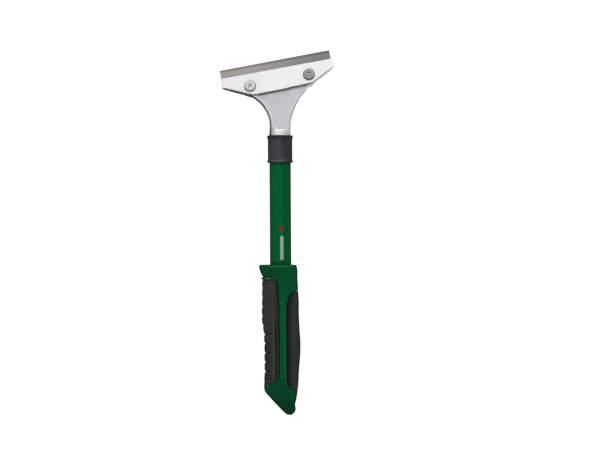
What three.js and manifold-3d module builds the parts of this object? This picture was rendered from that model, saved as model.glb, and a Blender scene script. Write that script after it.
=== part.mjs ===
// Floor scraper with a 100 mm clamped blade, a tubular shank and a two-part moulded grip.
// Millimetres, +Z up. The tool lies on a bench: the blade edge and the flank of the grip touch z = 0,
// the shank runs along +Y towards the blade, and the clamp screws face up.
import * as THREE from 'three';
import { mergeVertices } from 'three/addons/utils/BufferGeometryUtils.js';
import Module from 'manifold-3d';

// ---- driving dimensions -------------------------------------------------
const GAP = 0.3;               // clearance kept between touching pieces
const AXIS_Z = 13.5;           // shank axis above the bench
const SKEW = THREE.MathUtils.degToRad(10.38);  // blade line against the square of the shank
const BEND = THREE.MathUtils.degToRad(18);     // head plane dipping below the shank axis
const BLADE_L = 100, BLADE_W = 20, BLADE_T = 0.8, BEVEL = 2.4;
const BLADE_MID_N = 0.7;       // mid-thickness of the blade above the seat
const TIP = [-53.97, 308.46];  // left end of the cutting edge in plan
const TIP_Z = 0;               // cutting edge on the bench
const PLATE_T = 2.0, PLATE_N0 = 1.4;           // clamp plate thickness, underside above the seat
const LAND_N = 1.1;            // raised land behind the blade
const HEAD_N0 = -5.3;          // underside of the head below the seat
const SCREWS = [[-26.27, 293.2], [26.43, 303.24]];  // screw axes in plan, at the seat
const SCREW_HEAD_R = 5.2, SCREW_HEAD_H = 2.6, SHANK_R = 2.5, SCREW_END_N = -4.9;
const TUBE_R = 9.5, TUBE_BORE_R = 8.3, TUBE_Y0 = 46, TUBE_Y1 = 238;
const SPIGOT_R = 8.0, SPIGOT_Y0 = 213, NECK_Y1 = 251;
const PIN_Y = 231.5, PIN_R = 1.5;
const COLLAR_Y0 = 225.7, COLLAR_Y1 = 250.3, COLLAR_R = 10.95, BEAD_R = 11.5;
const GRIP_Y1 = 134.3, GRIP_BORE_R = TUBE_R + GAP, PAD_T = 2.4;
const ORIGIN = [-2.65, 163.24, 0];             // centre of the footprint

// ---- frame of the head --------------------------------------------------
const ca = Math.cos(SKEW), sa = Math.sin(SKEW), cb = Math.cos(BEND), sb = Math.sin(BEND), tb = Math.tan(BEND);
const XH = [ca, sa, 0];                        // along the cutting edge
const HH = [-sa * cb, ca * cb, -sb];           // out of the clamp, towards the cutting edge
const NN = [-sa * sb, ca * sb, cb];            // out of the seat, on the screw side
const P0 = [TIP[0] - BLADE_MID_N * NN[0], TIP[1] - BLADE_MID_N * NN[1], TIP_Z - BLADE_MID_N * NN[2]];
// height of the seat plane over a plan point
const seatZ = (x, y) => P0[2] - (-(x - P0[0]) * sa + (y - P0[1]) * ca) * tb;
// a point given by its distance along the edge, back from the edge and off the seat
const hp = (X, s, n) => [0, 1, 2].map((i) => P0[i] + X * XH[i] - s * HH[i] + n * NN[i]);
const onSeat = (x, y, n) => { const z = seatZ(x, y); return [x + n * NN[0], y + n * NN[1], z + n * NN[2]]; };
// middle height of the casting: level at the neck, easing down into the head plane
const K_MID = -2.1;
const D_KNEE = (13.5 - (P0[2] + K_MID)) / tb;  // plan distance behind the edge where the planes cross
const EASE = 12;
function midZ(x, y) {
  const d = -(x - P0[0]) * sa + (y - P0[1]) * ca, t = d + D_KNEE;
  if (t < -EASE) return AXIS_Z;
  if (t > EASE) return AXIS_Z - tb * t;
  return AXIS_Z - tb * (t + EASE) ** 2 / (4 * EASE);
}

// ---- solids -------------------------------------------------------------
const wasm = await Module();
wasm.setup();
function solid(geometry) {
  const g = geometry.clone();
  g.deleteAttribute('normal'); g.deleteAttribute('uv');
  const m = mergeVertices(g, 1e-5);
  const v = m.attributes.position.array, t = m.index.array;
  let vol = 0;
  for (let i = 0; i < t.length; i += 3) {
    const [a, b, c] = [t[i] * 3, t[i + 1] * 3, t[i + 2] * 3];
    vol += v[a] * (v[b + 1] * v[c + 2] - v[b + 2] * v[c + 1]) - v[a + 1] * (v[b] * v[c + 2] - v[b + 2] * v[c])
      + v[a + 2] * (v[b] * v[c + 1] - v[b + 1] * v[c]);
  }
  const tri = new Uint32Array(t);
  if (vol < 0) for (let i = 0; i < tri.length; i += 3) { const k = tri[i + 1]; tri[i + 1] = tri[i + 2]; tri[i + 2] = k; }
  return new wasm.Manifold(new wasm.Mesh({ numProp: 3, vertProperties: new Float32Array(v), triVerts: tri }));
}
function geometryOf(manifold) {
  const m = manifold.getMesh();
  const g = new THREE.BufferGeometry();
  const p = new Float32Array(m.numVert * 3);
  for (let i = 0; i < m.numVert; i++) for (let k = 0; k < 3; k++) p[i * 3 + k] = m.vertProperties[i * m.numProp + k];
  g.setAttribute('position', new THREE.BufferAttribute(p, 3));
  g.setIndex([...m.triVerts]);
  g.computeVertexNormals();
  return g;
}
function fromFaces(points, faces) {
  const g = new THREE.BufferGeometry();
  g.setAttribute('position', new THREE.BufferAttribute(new Float32Array(points.flat()), 3));
  g.setIndex(faces.flat());
  return solid(g);
}
// skins a list of closed rings, with a fan over each end
function loft(rings) {
  const n = rings[0].length, pts = rings.flat(), faces = [];
  for (let i = 0; i + 1 < rings.length; i++) for (let j = 0; j < n; j++) {
    const a = i * n + j, b = i * n + (j + 1) % n, c = a + n, d = b + n;
    faces.push([a, b, d], [a, d, c]);
  }
  for (const [i, flip] of [[0, true], [rings.length - 1, false]]) {
    const c = [0, 1, 2].map((k) => rings[i].reduce((s, p) => s + p[k], 0) / n);
    const ci = pts.push(c) - 1;
    for (let j = 0; j < n; j++) {
      const a = i * n + j, b = i * n + (j + 1) % n;
      faces.push(flip ? [ci, b, a] : [ci, a, b]);
    }
  }
  return fromFaces(pts, faces);
}
// a plan outline carried from one height function to another
function prism(outline, low, high) {
  const twice = outline.reduce((s, p, i) => { const q = outline[(i + 1) % outline.length]; return s + p[0] * q[1] - q[0] * p[1]; }, 0);
  const poly = twice > 0 ? outline : [...outline].reverse();
  const tri = THREE.ShapeUtils.triangulateShape(poly.map((p) => new THREE.Vector2(p[0], p[1])), []);
  const n = poly.length, pts = [...poly.map(low), ...poly.map(high)], faces = [];
  for (const [a, b, c] of tri) faces.push([a, c, b], [a + n, b + n, c + n]);
  for (let i = 0; i < n; i++) { const j = (i + 1) % n; faces.push([i, j, j + n], [i, j + n, i + n]); }
  return fromFaces(pts, faces);
}
const flatPrism = (poly, z0, z1) => prism(poly, (p) => [p[0], p[1], z0], (p) => [p[0], p[1], z1]);
// an outline given at height ref off the seat, extruded square to the seat
const headPrism = (poly, ref, n0, n1) => {
  const base = poly.map((p) => [p[0] - ref * NN[0], p[1] - ref * NN[1]]);
  return prism(base, (p) => onSeat(p[0], p[1], n0), (p) => onSeat(p[0], p[1], n1));
};
const turnY = (pts, seg) => { // closed or on-axis profile (radius, y) turned about the shank axis
  const g = new THREE.LatheGeometry(pts.map((p) => new THREE.Vector2(p[0], p[1])), seg);
  g.translate(0, 0, AXIS_Z);
  return solid(g);
};
const qN = new THREE.Quaternion().setFromUnitVectors(new THREE.Vector3(0, 1, 0), new THREE.Vector3(...NN).normalize());
const alongN = (geometry, at, n) => { // a geometry standing on its local Y axis, set square on the seat
  const g = geometry.clone().applyQuaternion(qN);
  g.translate(...onSeat(at[0], at[1], n));
  return solid(g);
};
const outset = (poly, d) => { // moves each side of a plan outline outwards by d
  const area = poly.reduce((s, p, i) => { const q = poly[(i + 1) % poly.length]; return s + p[0] * q[1] - q[0] * p[1]; }, 0);
  const k = area > 0 ? 1 : -1, n = poly.length;
  return poly.map((p, i) => {
    const a = poly[(i + n - 1) % n], b = poly[(i + 1) % n];
    const nrm = (u, v) => { const l = Math.hypot(v[0] - u[0], v[1] - u[1]); return [k * (v[1] - u[1]) / l, -k * (v[0] - u[0]) / l]; };
    const n1 = nrm(a, p), n2 = nrm(p, b), s = 1 + n1[0] * n2[0] + n1[1] * n2[1];
    return [p[0] + d * (n1[0] + n2[0]) / s, p[1] + d * (n1[1] + n2[1]) / s];
  });
};
const lerpTable = (table, y) => {
  if (y <= table[0][0]) return table[0][1];
  for (let i = 0; i + 1 < table.length; i++) {
    const [a, va] = table[i], [b, vb] = table[i + 1];
    if (y <= b) return va + (vb - va) * (y - a) / (b - a);
  }
  return table[table.length - 1][1];
};

// ---- head: casting, clamp plate, blade, screws --------------------------
const PLATE = [[-52.13, 301.18], [-51.95, 292.9], [-51.3, 292.15], [-28.53, 287.42], [-24.6, 286.9], [-21.0, 287.0],
  [-14.08, 288.5], [28.0, 296.2], [29.8, 296.9], [34.15, 300.2], [46.21, 309.08], [48.3, 310.9], [48.55, 311.9], [47.67, 313.46], [46.5, 318.9]];
const plateRef = PLATE_N0 + PLATE_T;
const screwHole = (at, r, n0, n1) => alongN(new THREE.CylinderGeometry(r, r, n1 - n0, 24), at, (n0 + n1) / 2);

let plate = headPrism(PLATE, plateRef, PLATE_N0, PLATE_N0 + PLATE_T);
for (const s of SCREWS) plate = plate.subtract(screwHole(s, SHANK_R + GAP, 0, 5));

const bladeProfile = [[0, BLADE_MID_N], [BEVEL, BLADE_MID_N + BLADE_T / 2], [BLADE_W, BLADE_MID_N + BLADE_T / 2],
  [BLADE_W, BLADE_MID_N - BLADE_T / 2], [BEVEL, BLADE_MID_N - BLADE_T / 2]];
let blade = loft([bladeProfile.map(([s, n]) => hp(0, s, n)), bladeProfile.map(([s, n]) => hp(BLADE_L, s, n))]);
for (const s of SCREWS) blade = blade.subtract(screwHole(s, SHANK_R + 0.5, -2, 4));

// jaw under the blade and the land behind it
const JAW = outset(PLATE, -0.25);
let head = headPrism(JAW, plateRef, HEAD_N0, 0);
const landFront = [hp(-12, BLADE_W + GAP, 0), hp(BLADE_L + 12, BLADE_W + GAP, 0), hp(BLADE_L + 12, 60, 0), hp(-12, 60, 0)];
head = head.add(headPrism(JAW, plateRef, -0.5, LAND_N).intersect(
  prism(landFront, (p) => onSeat(p[0], p[1], -3), (p) => onSeat(p[0], p[1], 6))));
// underside planed away towards the front, so that the edge reaches the floor first
const planed = (X) => [hp(X, -5, -1.2 + 0.315 * 14.3), hp(X, 9.3, -1.2), hp(X, 22.3, HEAD_N0), hp(X, 22.3, -20), hp(X, -5, -20)];
head = head.subtract(loft([planed(-20), planed(BLADE_L + 20)]));

// web and neck: rounded sections that go from the round neck to the flat head
const WEB = [ // left point, right point, half thickness, squareness
  [[-9.5, 250.4], [9.5, 250.4], 9.5, 2], [[-9.3, 254], [9.75, 254], 9.1, 2.1], [[-9.0, 258], [9.9, 258], 8.0, 2.4],
  [[-8.95, 261.5], [10.0, 261.4], 6.8, 2.8], [[-9.81, 266.42], [11.0, 266.6], 5.6, 3.4], [[-11.58, 270.74], [12.0, 271.5], 4.8, 4],
  [[-15.05, 276.05], [14.2, 277.5], 4.2, 5], [[-17.9, 279.65], [16.64, 282.3], 3.8, 5.5], [[-21.64, 283.17], [19.3, 286.3], 3.6, 6],
  [[-27.6, 286.9], [23.2, 291.2], 3.4, 6], [[-34, 289.2], [28.4, 297.0], 3.2, 6]];
const WEB_N = 32;
const webRing = ([L, R, h, p]) => Array.from({ length: WEB_N }, (_, j) => {
  const t = (j + 0.5) / WEB_N * 2 * Math.PI, c = Math.cos(t), s = Math.sin(t);
  const u = Math.sign(c) * Math.abs(c) ** (2 / p), w = Math.sign(s) * Math.abs(s) ** (2 / p);
  const x = (L[0] + R[0]) / 2 + u * (R[0] - L[0]) / 2, y = (L[1] + R[1]) / 2 + u * (R[1] - L[1]) / 2;
  return [x, y, midZ(x, y) + w * h];
});
const web = loft(WEB.map(webRing));
const RECESS = [ // left point, right point, panel height above the middle
  [[-4.6, 256.3], [6.8, 255.8], 6.2], [[-5.6, 258.5], [7.0, 258.5], 5.7], [[-5.9, 261.5], [7.2, 261.5], 4.9], [[-6.6, 266.3], [8.0, 266.3], 3.8],
  [[-8.3, 271.2], [9.0, 271.2], 3.1], [[-11.4, 276.6], [10.6, 277], 2.6], [[-14.0, 280.2], [12.6, 281.6], 2.3], [[-17.3, 283.6], [15.2, 286.3], 2.05],
  [[-19.6, 286.4], [20.4, 292.0], 1.9], [[-18.3, 288.5], [25.6, 296.8], 1.8]];
const recess = loft(RECESS.map(([L, R, h]) => {
  const low = Array.from({ length: 7 }, (_, i) => { const f = i / 6, x = L[0] + f * (R[0] - L[0]), y = L[1] + f * (R[1] - L[1]); return [x, y, midZ(x, y) + h]; });
  return [...low, [R[0], R[1], 40], [L[0], L[1], 40]];
}));
const neck = turnY([[0, SPIGOT_Y0], [SPIGOT_R - 1, SPIGOT_Y0], [SPIGOT_R, SPIGOT_Y0 + 1], [SPIGOT_R, TUBE_Y1 + GAP], [TUBE_R, TUBE_Y1 + GAP], [TUBE_R, NECK_Y1], [0, NECK_Y1]], 40);
let casting = head.add(web).add(neck).subtract(recess);
const clearPlate = headPrism(outset(PLATE, 6), plateRef, PLATE_N0 - GAP + 0.0, 12).intersect(
  prism([hp(-20, -5, 0), hp(BLADE_L + 20, -5, 0), hp(BLADE_L + 20, 29.6, 0), hp(-20, 29.6, 0)], (p) => onSeat(p[0], p[1], -4), (p) => onSeat(p[0], p[1], 14)));
casting = casting.subtract(clearPlate);
// nothing of the casting stands in the blade's slot
const slot = [hp(-20, -5, 0), hp(BLADE_L + 20, -5, 0), hp(BLADE_L + 20, BLADE_W + GAP, 0), hp(-20, BLADE_W + GAP, 0)];
casting = casting.subtract(prism(slot, (p) => onSeat(p[0], p[1], 0), (p) => onSeat(p[0], p[1], 8)));
for (const s of SCREWS) casting = casting.subtract(screwHole(s, SHANK_R + GAP, -12, 6));
const crossHole = (r, x) => { const g = new THREE.CylinderGeometry(r, r, 2 * x, 20); g.rotateZ(Math.PI / 2); g.translate(0, PIN_Y, AXIS_Z); return solid(g); };
casting = casting.subtract(crossHole(PIN_R + GAP, 30));

// pan-head screw with a cross recess, built upright and set square on the seat
const screwBase = PLATE_N0 + PLATE_T + GAP;
const screwProfile = [[0, SCREW_END_N], [SHANK_R - 0.5, SCREW_END_N], [SHANK_R, SCREW_END_N + 0.6], [SHANK_R, screwBase], [SCREW_HEAD_R, screwBase],
  [SCREW_HEAD_R, screwBase + 0.9], [SCREW_HEAD_R - 0.35, screwBase + 1.6], [SCREW_HEAD_R - 1.2, screwBase + 2.25], [SCREW_HEAD_R - 2.4, screwBase + SCREW_HEAD_H - 0.05], [0, screwBase + SCREW_HEAD_H]];
const screwAt = (at) => {
  let s = solid(new THREE.LatheGeometry(screwProfile.map((p) => new THREE.Vector2(p[0], p[1])), 36));
  for (const turn of [0, Math.PI / 2]) {
    const g = new THREE.BoxGeometry(5.0, 2.2, 1.0); g.rotateY(turn + 0.5); g.translate(0, screwBase + SCREW_HEAD_H - 0.3, 0);
    s = s.subtract(solid(g));
  }
  const g = geometryOf(s).applyQuaternion(qN);
  g.translate(...onSeat(at[0], at[1], 0));
  return solid(g);
};

// ---- shank, collar and pin ----------------------------------------------
let tube = turnY([[TUBE_BORE_R, TUBE_Y0], [TUBE_R, TUBE_Y0], [TUBE_R, TUBE_Y1], [TUBE_BORE_R, TUBE_Y1], [TUBE_BORE_R, TUBE_Y0]], 40);
tube = tube.subtract(crossHole(PIN_R + GAP, 30));
const CI = TUBE_R + GAP;
const collar = turnY([[CI, COLLAR_Y0], [BEAD_R - 0.7, COLLAR_Y0], [BEAD_R, COLLAR_Y0 + 0.9], [BEAD_R - 0.1, COLLAR_Y0 + 2.0], [COLLAR_R, COLLAR_Y0 + 2.8],
  [COLLAR_R, COLLAR_Y1 - 3.4], [BEAD_R, COLLAR_Y1 - 2.6], [BEAD_R, COLLAR_Y1 - 1.2], [BEAD_R - 1.0, COLLAR_Y1], [CI, COLLAR_Y1], [CI, COLLAR_Y0]], 40);
const pinShape = (() => { // rolled spring pin, open along one side
  const o = [], i = [];
  for (let k = 0; k <= 20; k++) { const t = 0.35 + (2 * Math.PI - 0.7) * k / 20; o.push([PIN_R * Math.cos(t), PIN_R * Math.sin(t)]); i.unshift([0.9 * Math.cos(t), 0.9 * Math.sin(t)]); }
  return [...o, ...i];
})();
const pin = prism(pinShape, (p) => [-9.2, PIN_Y + p[0], AXIS_Z + p[1]], (p) => [9.2, PIN_Y + p[0], AXIS_Z + p[1]]);

// ---- grip ---------------------------------------------------------------
const GRIP_L = [[0, 5.2], [0.5, 4.4], [2, 3.1], [5, 0.1], [8.72, -3.49], [14.93, -9.2], [19.5, -13.2], [21.6, -14.7], [24, -15.35], [29, -15.35], [39, -14.9], [56, -14.9], [72, -15.3], [77, -15.9],
  [82, -16.8], [89, -17.1], [103, -16.8], [118.7, -16.7], [121.9, -17.0], [125, -17.2], [129.5, -18.8], [132, -19.4], [134.3, -19.4]];
const GRIP_R = [[0, 9.4], [0.5, 10.2], [2, 11.2], [5, 12.3], [8.6, 12.5], [16.3, 13.8], [24, 14.95], [31.6, 15.55], [39.6, 15.95], [47.2, 16.6], [55, 17.2], [65, 17.35], [74, 16.8],
  [84, 16.2], [94, 15.8], [99, 15.9], [107, 15.3], [114, 14.95], [122, 14.75], [128, 14.9], [132.5, 14.5], [134.3, 14.2]];
const GRIP_H = [[0, 5.0], [0.5, 6.4], [2, 8.6], [5, 10.6], [8.6, 11.8], [15, 12.7], [24, 13.1], [40, 13.4], [60, 13.5], [90, 13.3], [110, 12.9], [122, 12.6], [130, 12.8], [134.3, 12.8]];
const GRIP_Y = [0, 0.5, 2, 5, 8.7, 12, 15, 19.5, 21.6, 24, 29, 39, 47, 56, 65, 74, 82, 89, 99, 110, 118.7, 123, 127, 130.5, 132.5, GRIP_Y1];
const GRIP_N = 36, GRIP_P = 2.45;
const gripRing = (y, off, yy = y) => {
  const l = lerpTable(GRIP_L, y), r = lerpTable(GRIP_R, y), h = Math.max(lerpTable(GRIP_H, y) + off, 0.6);
  const w = Math.max((r - l) / 2 + off, 0.5), xc = (l + r) / 2;
  return Array.from({ length: GRIP_N }, (_, j) => {
    const t = j / GRIP_N * 2 * Math.PI, c = Math.cos(t), s = Math.sin(t);
    return [xc + w * Math.sign(c) * Math.abs(c) ** (2 / GRIP_P), yy, AXIS_Z + h * Math.sign(s) * Math.abs(s) ** (2 / GRIP_P)];
  });
};
const gripLoft = (off, ys = GRIP_Y) => loft(ys.map((y) => gripRing(y, off)));
const PAD_YS = [8.7, 15, 19.5, 24, 29, 39, 47, 56, 65, 74, 82, 89, 99, 110, 118.7, 123, 127];
const PAD_FRONT = [[-40, 120.3], [-4.9, 120.2], [-3.5, 119.3], [-2.91, 117.14], [-2.0, 102.5], [-1.66, 66.6], [-1.82, 36.2], [-5.97, 31.7], [-8.59, 28.1], [-13.82, 23.66], [-40, 1.3]];
const PAD_BACK = [[40, 112.2], [14.8, 111.9], [11.41, 111.4], [9.2, 110.0], [7.81, 107.85], [6.25, 102.5], [5.3, 97.5], [5.25, 66.6], [5.33, 31.6], [7.37, 27.1], [9.95, 24.07], [14.41, 19.0], [40, -10]];
const shell = gripLoft(0).subtract(gripLoft(-PAD_T, PAD_YS));
const pad = (poly) => shell.intersect(flatPrism(poly, -5, 40)).intersect(flatPrism([[-40, 15], [40, 15], [40, 122], [-40, 122]], -6, 41));
const padFront = pad(PAD_FRONT), padBack = pad(PAD_BACK);
let core = gripLoft(0);
for (const poly of [PAD_FRONT, PAD_BACK]) {
  const bed = gripLoft(1.5).subtract(gripLoft(-PAD_T - GAP, [0, ...PAD_YS.slice(0, -1), 134]));
  core = core.subtract(bed.intersect(flatPrism(outset(poly, GAP), -5, 40)).intersect(flatPrism([[-60, 12], [60, 12], [60, 124], [-60, 124]], -6, 41)));
}
core = core.subtract(turnY([[0, TUBE_Y0 - GAP], [GRIP_BORE_R, TUBE_Y0 - GAP], [GRIP_BORE_R, GRIP_Y1 + 5], [0, GRIP_Y1 + 5]], 40));

// ---- scene graph --------------------------------------------------------
const finish = (color, roughness, metalness) => new THREE.MeshStandardMaterial({ color, roughness, metalness });
const aluminium = finish(0xc8c8cb, 0.42, 0.9), zinc = finish(0xe6e6e4, 0.32, 0.9), steel = finish(0x8f918b, 0.35, 0.9);
const bright = finish(0xb4b4b4, 0.35, 0.9), paint = finish(0x055c30, 0.38, 0.0), green = finish(0x046036, 0.5, 0.0);
const black = finish(0x343436, 0.55, 0.0), rubber = finish(0x3b3a38, 0.8, 0.0);
const group = new THREE.Group();
const place = (name, manifold, material) => {
  const parts = manifold.decompose().filter((m) => m.volume() > 0.5);
  const g = geometryOf(parts.length === 1 ? parts[0] : parts.sort((a, b) => b.volume() - a.volume())[0]);
  const mesh = new THREE.Mesh(g, material);
  mesh.name = name;
  group.add(mesh);
};
place('head_casting', casting, aluminium);
place('clamp_plate', plate, zinc);
place('blade', blade, steel);
place('screw_left', screwAt(SCREWS[0]), bright);
place('screw_right', screwAt(SCREWS[1]), bright);
place('collar', collar, black);
place('tube', tube, paint);
place('neck_pin', pin, steel);
place('handle_core', core, green);
place('grip_pad_front', padFront, rubber);
place('grip_pad_back', padBack, rubber);
group.position.set(-ORIGIN[0], -ORIGIN[1], -ORIGIN[2]);

export default group;
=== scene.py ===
import math

import bmesh
import bpy
import numpy as np
from mathutils import Matrix, Vector, noise
from mathutils.bvhtree import BVHTree
from mathutils.geometry import delaunay_2d_cdt


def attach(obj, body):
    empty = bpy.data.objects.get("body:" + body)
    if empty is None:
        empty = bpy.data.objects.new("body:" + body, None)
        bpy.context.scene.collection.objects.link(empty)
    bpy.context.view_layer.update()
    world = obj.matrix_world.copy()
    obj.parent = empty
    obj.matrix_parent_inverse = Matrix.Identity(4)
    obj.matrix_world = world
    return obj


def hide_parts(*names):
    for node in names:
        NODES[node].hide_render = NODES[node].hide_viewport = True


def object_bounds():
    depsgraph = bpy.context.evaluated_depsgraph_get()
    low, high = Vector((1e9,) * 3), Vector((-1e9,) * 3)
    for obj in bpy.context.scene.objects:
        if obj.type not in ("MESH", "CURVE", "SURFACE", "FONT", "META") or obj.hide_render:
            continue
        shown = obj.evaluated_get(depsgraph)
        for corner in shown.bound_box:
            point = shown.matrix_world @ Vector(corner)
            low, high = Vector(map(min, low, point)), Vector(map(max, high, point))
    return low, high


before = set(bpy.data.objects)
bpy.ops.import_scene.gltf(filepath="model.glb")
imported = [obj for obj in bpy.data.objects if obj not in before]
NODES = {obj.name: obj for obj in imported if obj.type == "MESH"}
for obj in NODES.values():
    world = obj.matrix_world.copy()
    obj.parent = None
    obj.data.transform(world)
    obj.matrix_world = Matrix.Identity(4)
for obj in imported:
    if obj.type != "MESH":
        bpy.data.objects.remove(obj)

CAD_BOX = [list(v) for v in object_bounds()]

# ------------------------------------------------------------------ shared dimensions, in mm
# drawing frame: x right, y along the shank from the butt tip, z up from the bench
ORIGIN = np.array([-2.65, 163.24, 0.0])
AXIS_Z = 13.5
SKEW, BEND = math.radians(10.38), math.radians(18)
ca, sa, cb, sb, tb = math.cos(SKEW), math.sin(SKEW), math.cos(BEND), math.sin(BEND), math.tan(BEND)
XH = np.array([ca, sa, 0.0])
HH = np.array([-sa * cb, ca * cb, -sb])
NN = np.array([-sa * sb, ca * sb, cb])
TIP = np.array([-53.97, 308.46, 0.0])
P0 = TIP - 0.7 * NN
SCREWS = [(-26.27, 293.2), (26.43, 303.24)]


def seat_z(x, y):
    return P0[2] - (-(x - P0[0]) * sa + (y - P0[1]) * ca) * tb


def on_seat(x, y, n):
    return np.array([x, y, seat_z(x, y)]) + n * NN


def hp(X, s, n):
    return P0 + X * XH - s * HH + n * NN


def row(points):
    """drawing frame in mm to the row frame in metres"""
    return (np.asarray(points, float) - ORIGIN) * 0.001


def pchip(table):
    """a smooth monotone curve through a table of (y, value)"""
    x = np.array([t[0] for t in table], float)
    v = np.array([t[1] for t in table], float)
    h = np.diff(x)
    d = np.diff(v) / h
    m = np.zeros(len(x))
    for i in range(1, len(x) - 1):
        if d[i - 1] * d[i] > 0:
            w1, w2 = 2 * h[i] + h[i - 1], h[i] + 2 * h[i - 1]
            m[i] = (w1 + w2) / (w1 / d[i - 1] + w2 / d[i])
    m[0], m[-1] = d[0], d[-1]

    def f(q):
        q = np.asarray(q, float)
        i = np.clip(np.searchsorted(x, q, side="right") - 1, 0, len(h) - 1)
        t = np.clip((q - x[i]) / h[i], 0, 1)
        return (
            v[i] * (1 + 2 * t) * (1 - t) ** 2
            + h[i] * m[i] * t * (1 - t) ** 2
            + v[i + 1] * t * t * (3 - 2 * t)
            + h[i] * m[i + 1] * t * t * (t - 1)
        )

    return f


def smooth(a, b, q):
    t = np.clip((np.asarray(q, float) - a) / (b - a), 0, 1)
    return t * t * (3 - 2 * t)


# ------------------------------------------------------------------ mesh helpers
def make(name, verts, faces, smooth_angle=40):
    me = bpy.data.meshes.new(name)
    me.from_pydata([tuple(v) for v in row(verts)], [], [tuple(int(i) for i in f) for f in faces])
    me.validate()
    bm = bmesh.new()
    bm.from_mesh(me)
    bmesh.ops.remove_doubles(bm, verts=bm.verts, dist=1e-7)
    bmesh.ops.recalc_face_normals(bm, faces=bm.faces)
    bm.to_mesh(me)
    bm.free()
    ob = bpy.data.objects.new(name, me)
    bpy.context.scene.collection.objects.link(ob)
    shade(ob, smooth_angle)
    return ob


def shade(ob, angle):
    me = ob.data
    me.shade_smooth()
    if angle is not None:
        me.set_sharp_from_angle(angle=math.radians(angle))


def lathe(name, profile, seg, place, smooth_angle=35):
    """profile is a closed list of (radius, height); place puts (x, h, z) points"""
    verts, faces = [], []
    n = len(profile)
    for k in range(seg):
        t = 2 * math.pi * k / seg
        for r, h in profile:
            verts.append(place(r * math.cos(t), h, r * math.sin(t)))
    for k in range(seg):
        a, b = k * n, ((k + 1) % seg) * n
        for i in range(n):
            j = (i + 1) % n
            if profile[i][0] < 1e-9 and profile[j][0] < 1e-9:
                continue
            if profile[i][0] < 1e-9:
                faces.append((a + i, a + j, b + j))
            elif profile[j][0] < 1e-9:
                faces.append((a + i, a + j, b + i))
            else:
                faces.append((a + i, a + j, b + j, b + i))
    return make(name, verts, faces, smooth_angle)


def arc(cx, cy, r, a0, a1, n):
    return [
        (cx + r * math.cos(math.radians(a0 + (a1 - a0) * i / n)), cy + r * math.sin(math.radians(a0 + (a1 - a0) * i / n)))
        for i in range(n + 1)
    ]


def ccw(poly):
    poly = np.asarray(poly, float)
    nxt = np.roll(poly, -1, axis=0)
    area = np.sum(poly[:, 0] * nxt[:, 1] - nxt[:, 0] * poly[:, 1])
    return poly if area > 0 else poly[::-1]


def outset(poly, d):
    """moves a counter-clockwise loop outwards by d"""
    p = np.asarray(poly, float)
    a, b = np.roll(p, 1, axis=0), np.roll(p, -1, axis=0)
    e1, e2 = p - a, b - p
    n1 = np.stack([e1[:, 1], -e1[:, 0]], 1) / np.maximum(np.linalg.norm(e1, axis=1), 1e-9)[:, None]
    n2 = np.stack([e2[:, 1], -e2[:, 0]], 1) / np.maximum(np.linalg.norm(e2, axis=1), 1e-9)[:, None]
    s = np.maximum(1 + np.sum(n1 * n2, axis=1), 0.35)
    return p + d * (n1 + n2) / s[:, None]


def rounded(poly, r, seg=5):
    """rounds the corners of a plan loop; r is one radius or one per corner"""
    poly = np.asarray(poly, float)
    out = []
    n = len(poly)
    for i in range(n):
        p, a, b = poly[i], poly[i - 1], poly[(i + 1) % n]
        ri = r[i] if hasattr(r, "__len__") else r
        u, w = a - p, b - p
        lu, lw = np.linalg.norm(u), np.linalg.norm(w)
        u, w = u / lu, w / lw
        ang = math.acos(max(-1, min(1, float(u @ w))))
        t = ri / max(math.tan(ang / 2), 1e-6)
        t = min(t, lu * 0.45, lw * 0.45)
        if ri <= 0 or ang > 2.75:
            out.append(p)
            continue
        for k in range(seg + 1):
            f = k / seg
            q0, q1 = p + u * t * (1 - f), p + w * t * f
            out.append(q0 * (1 - f) + q1 * f)
    return np.array(out)


def resample(poly, step, closed=True):
    poly = np.asarray(poly, float)
    pts = np.vstack([poly, poly[:1]]) if closed else poly
    out = []
    for a, b in zip(pts[:-1], pts[1:]):
        n = max(1, int(math.ceil(np.linalg.norm(b - a) / step)))
        for k in range(n):
            out.append(a + (b - a) * k / n)
    if not closed:
        out.append(pts[-1])
    return np.array(out)


def inside(poly, pts):
    """which points lie in a closed loop"""
    x, y = pts[:, 0], pts[:, 1]
    res = np.zeros(len(pts), bool)
    n = len(poly)
    for i in range(n):
        x1, y1 = poly[i]
        x2, y2 = poly[(i + 1) % n]
        if y1 == y2:
            continue
        c = ((y1 > y) != (y2 > y)) & (x < (x2 - x1) * (y - y1) / (y2 - y1) + x1)
        res ^= c
    return res


def distance(poly, pts):
    """distance to a closed loop"""
    d = np.full(len(pts), 1e9)
    n = len(poly)
    for i in range(n):
        a, b = poly[i], poly[(i + 1) % n]
        ab = b - a
        l2 = float(ab @ ab)
        if l2 < 1e-18:
            continue
        t = np.clip(((pts - a) @ ab) / l2, 0, 1)
        d = np.minimum(d, np.linalg.norm(pts - (a + t[:, None] * ab), axis=1))
    return d


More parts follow.
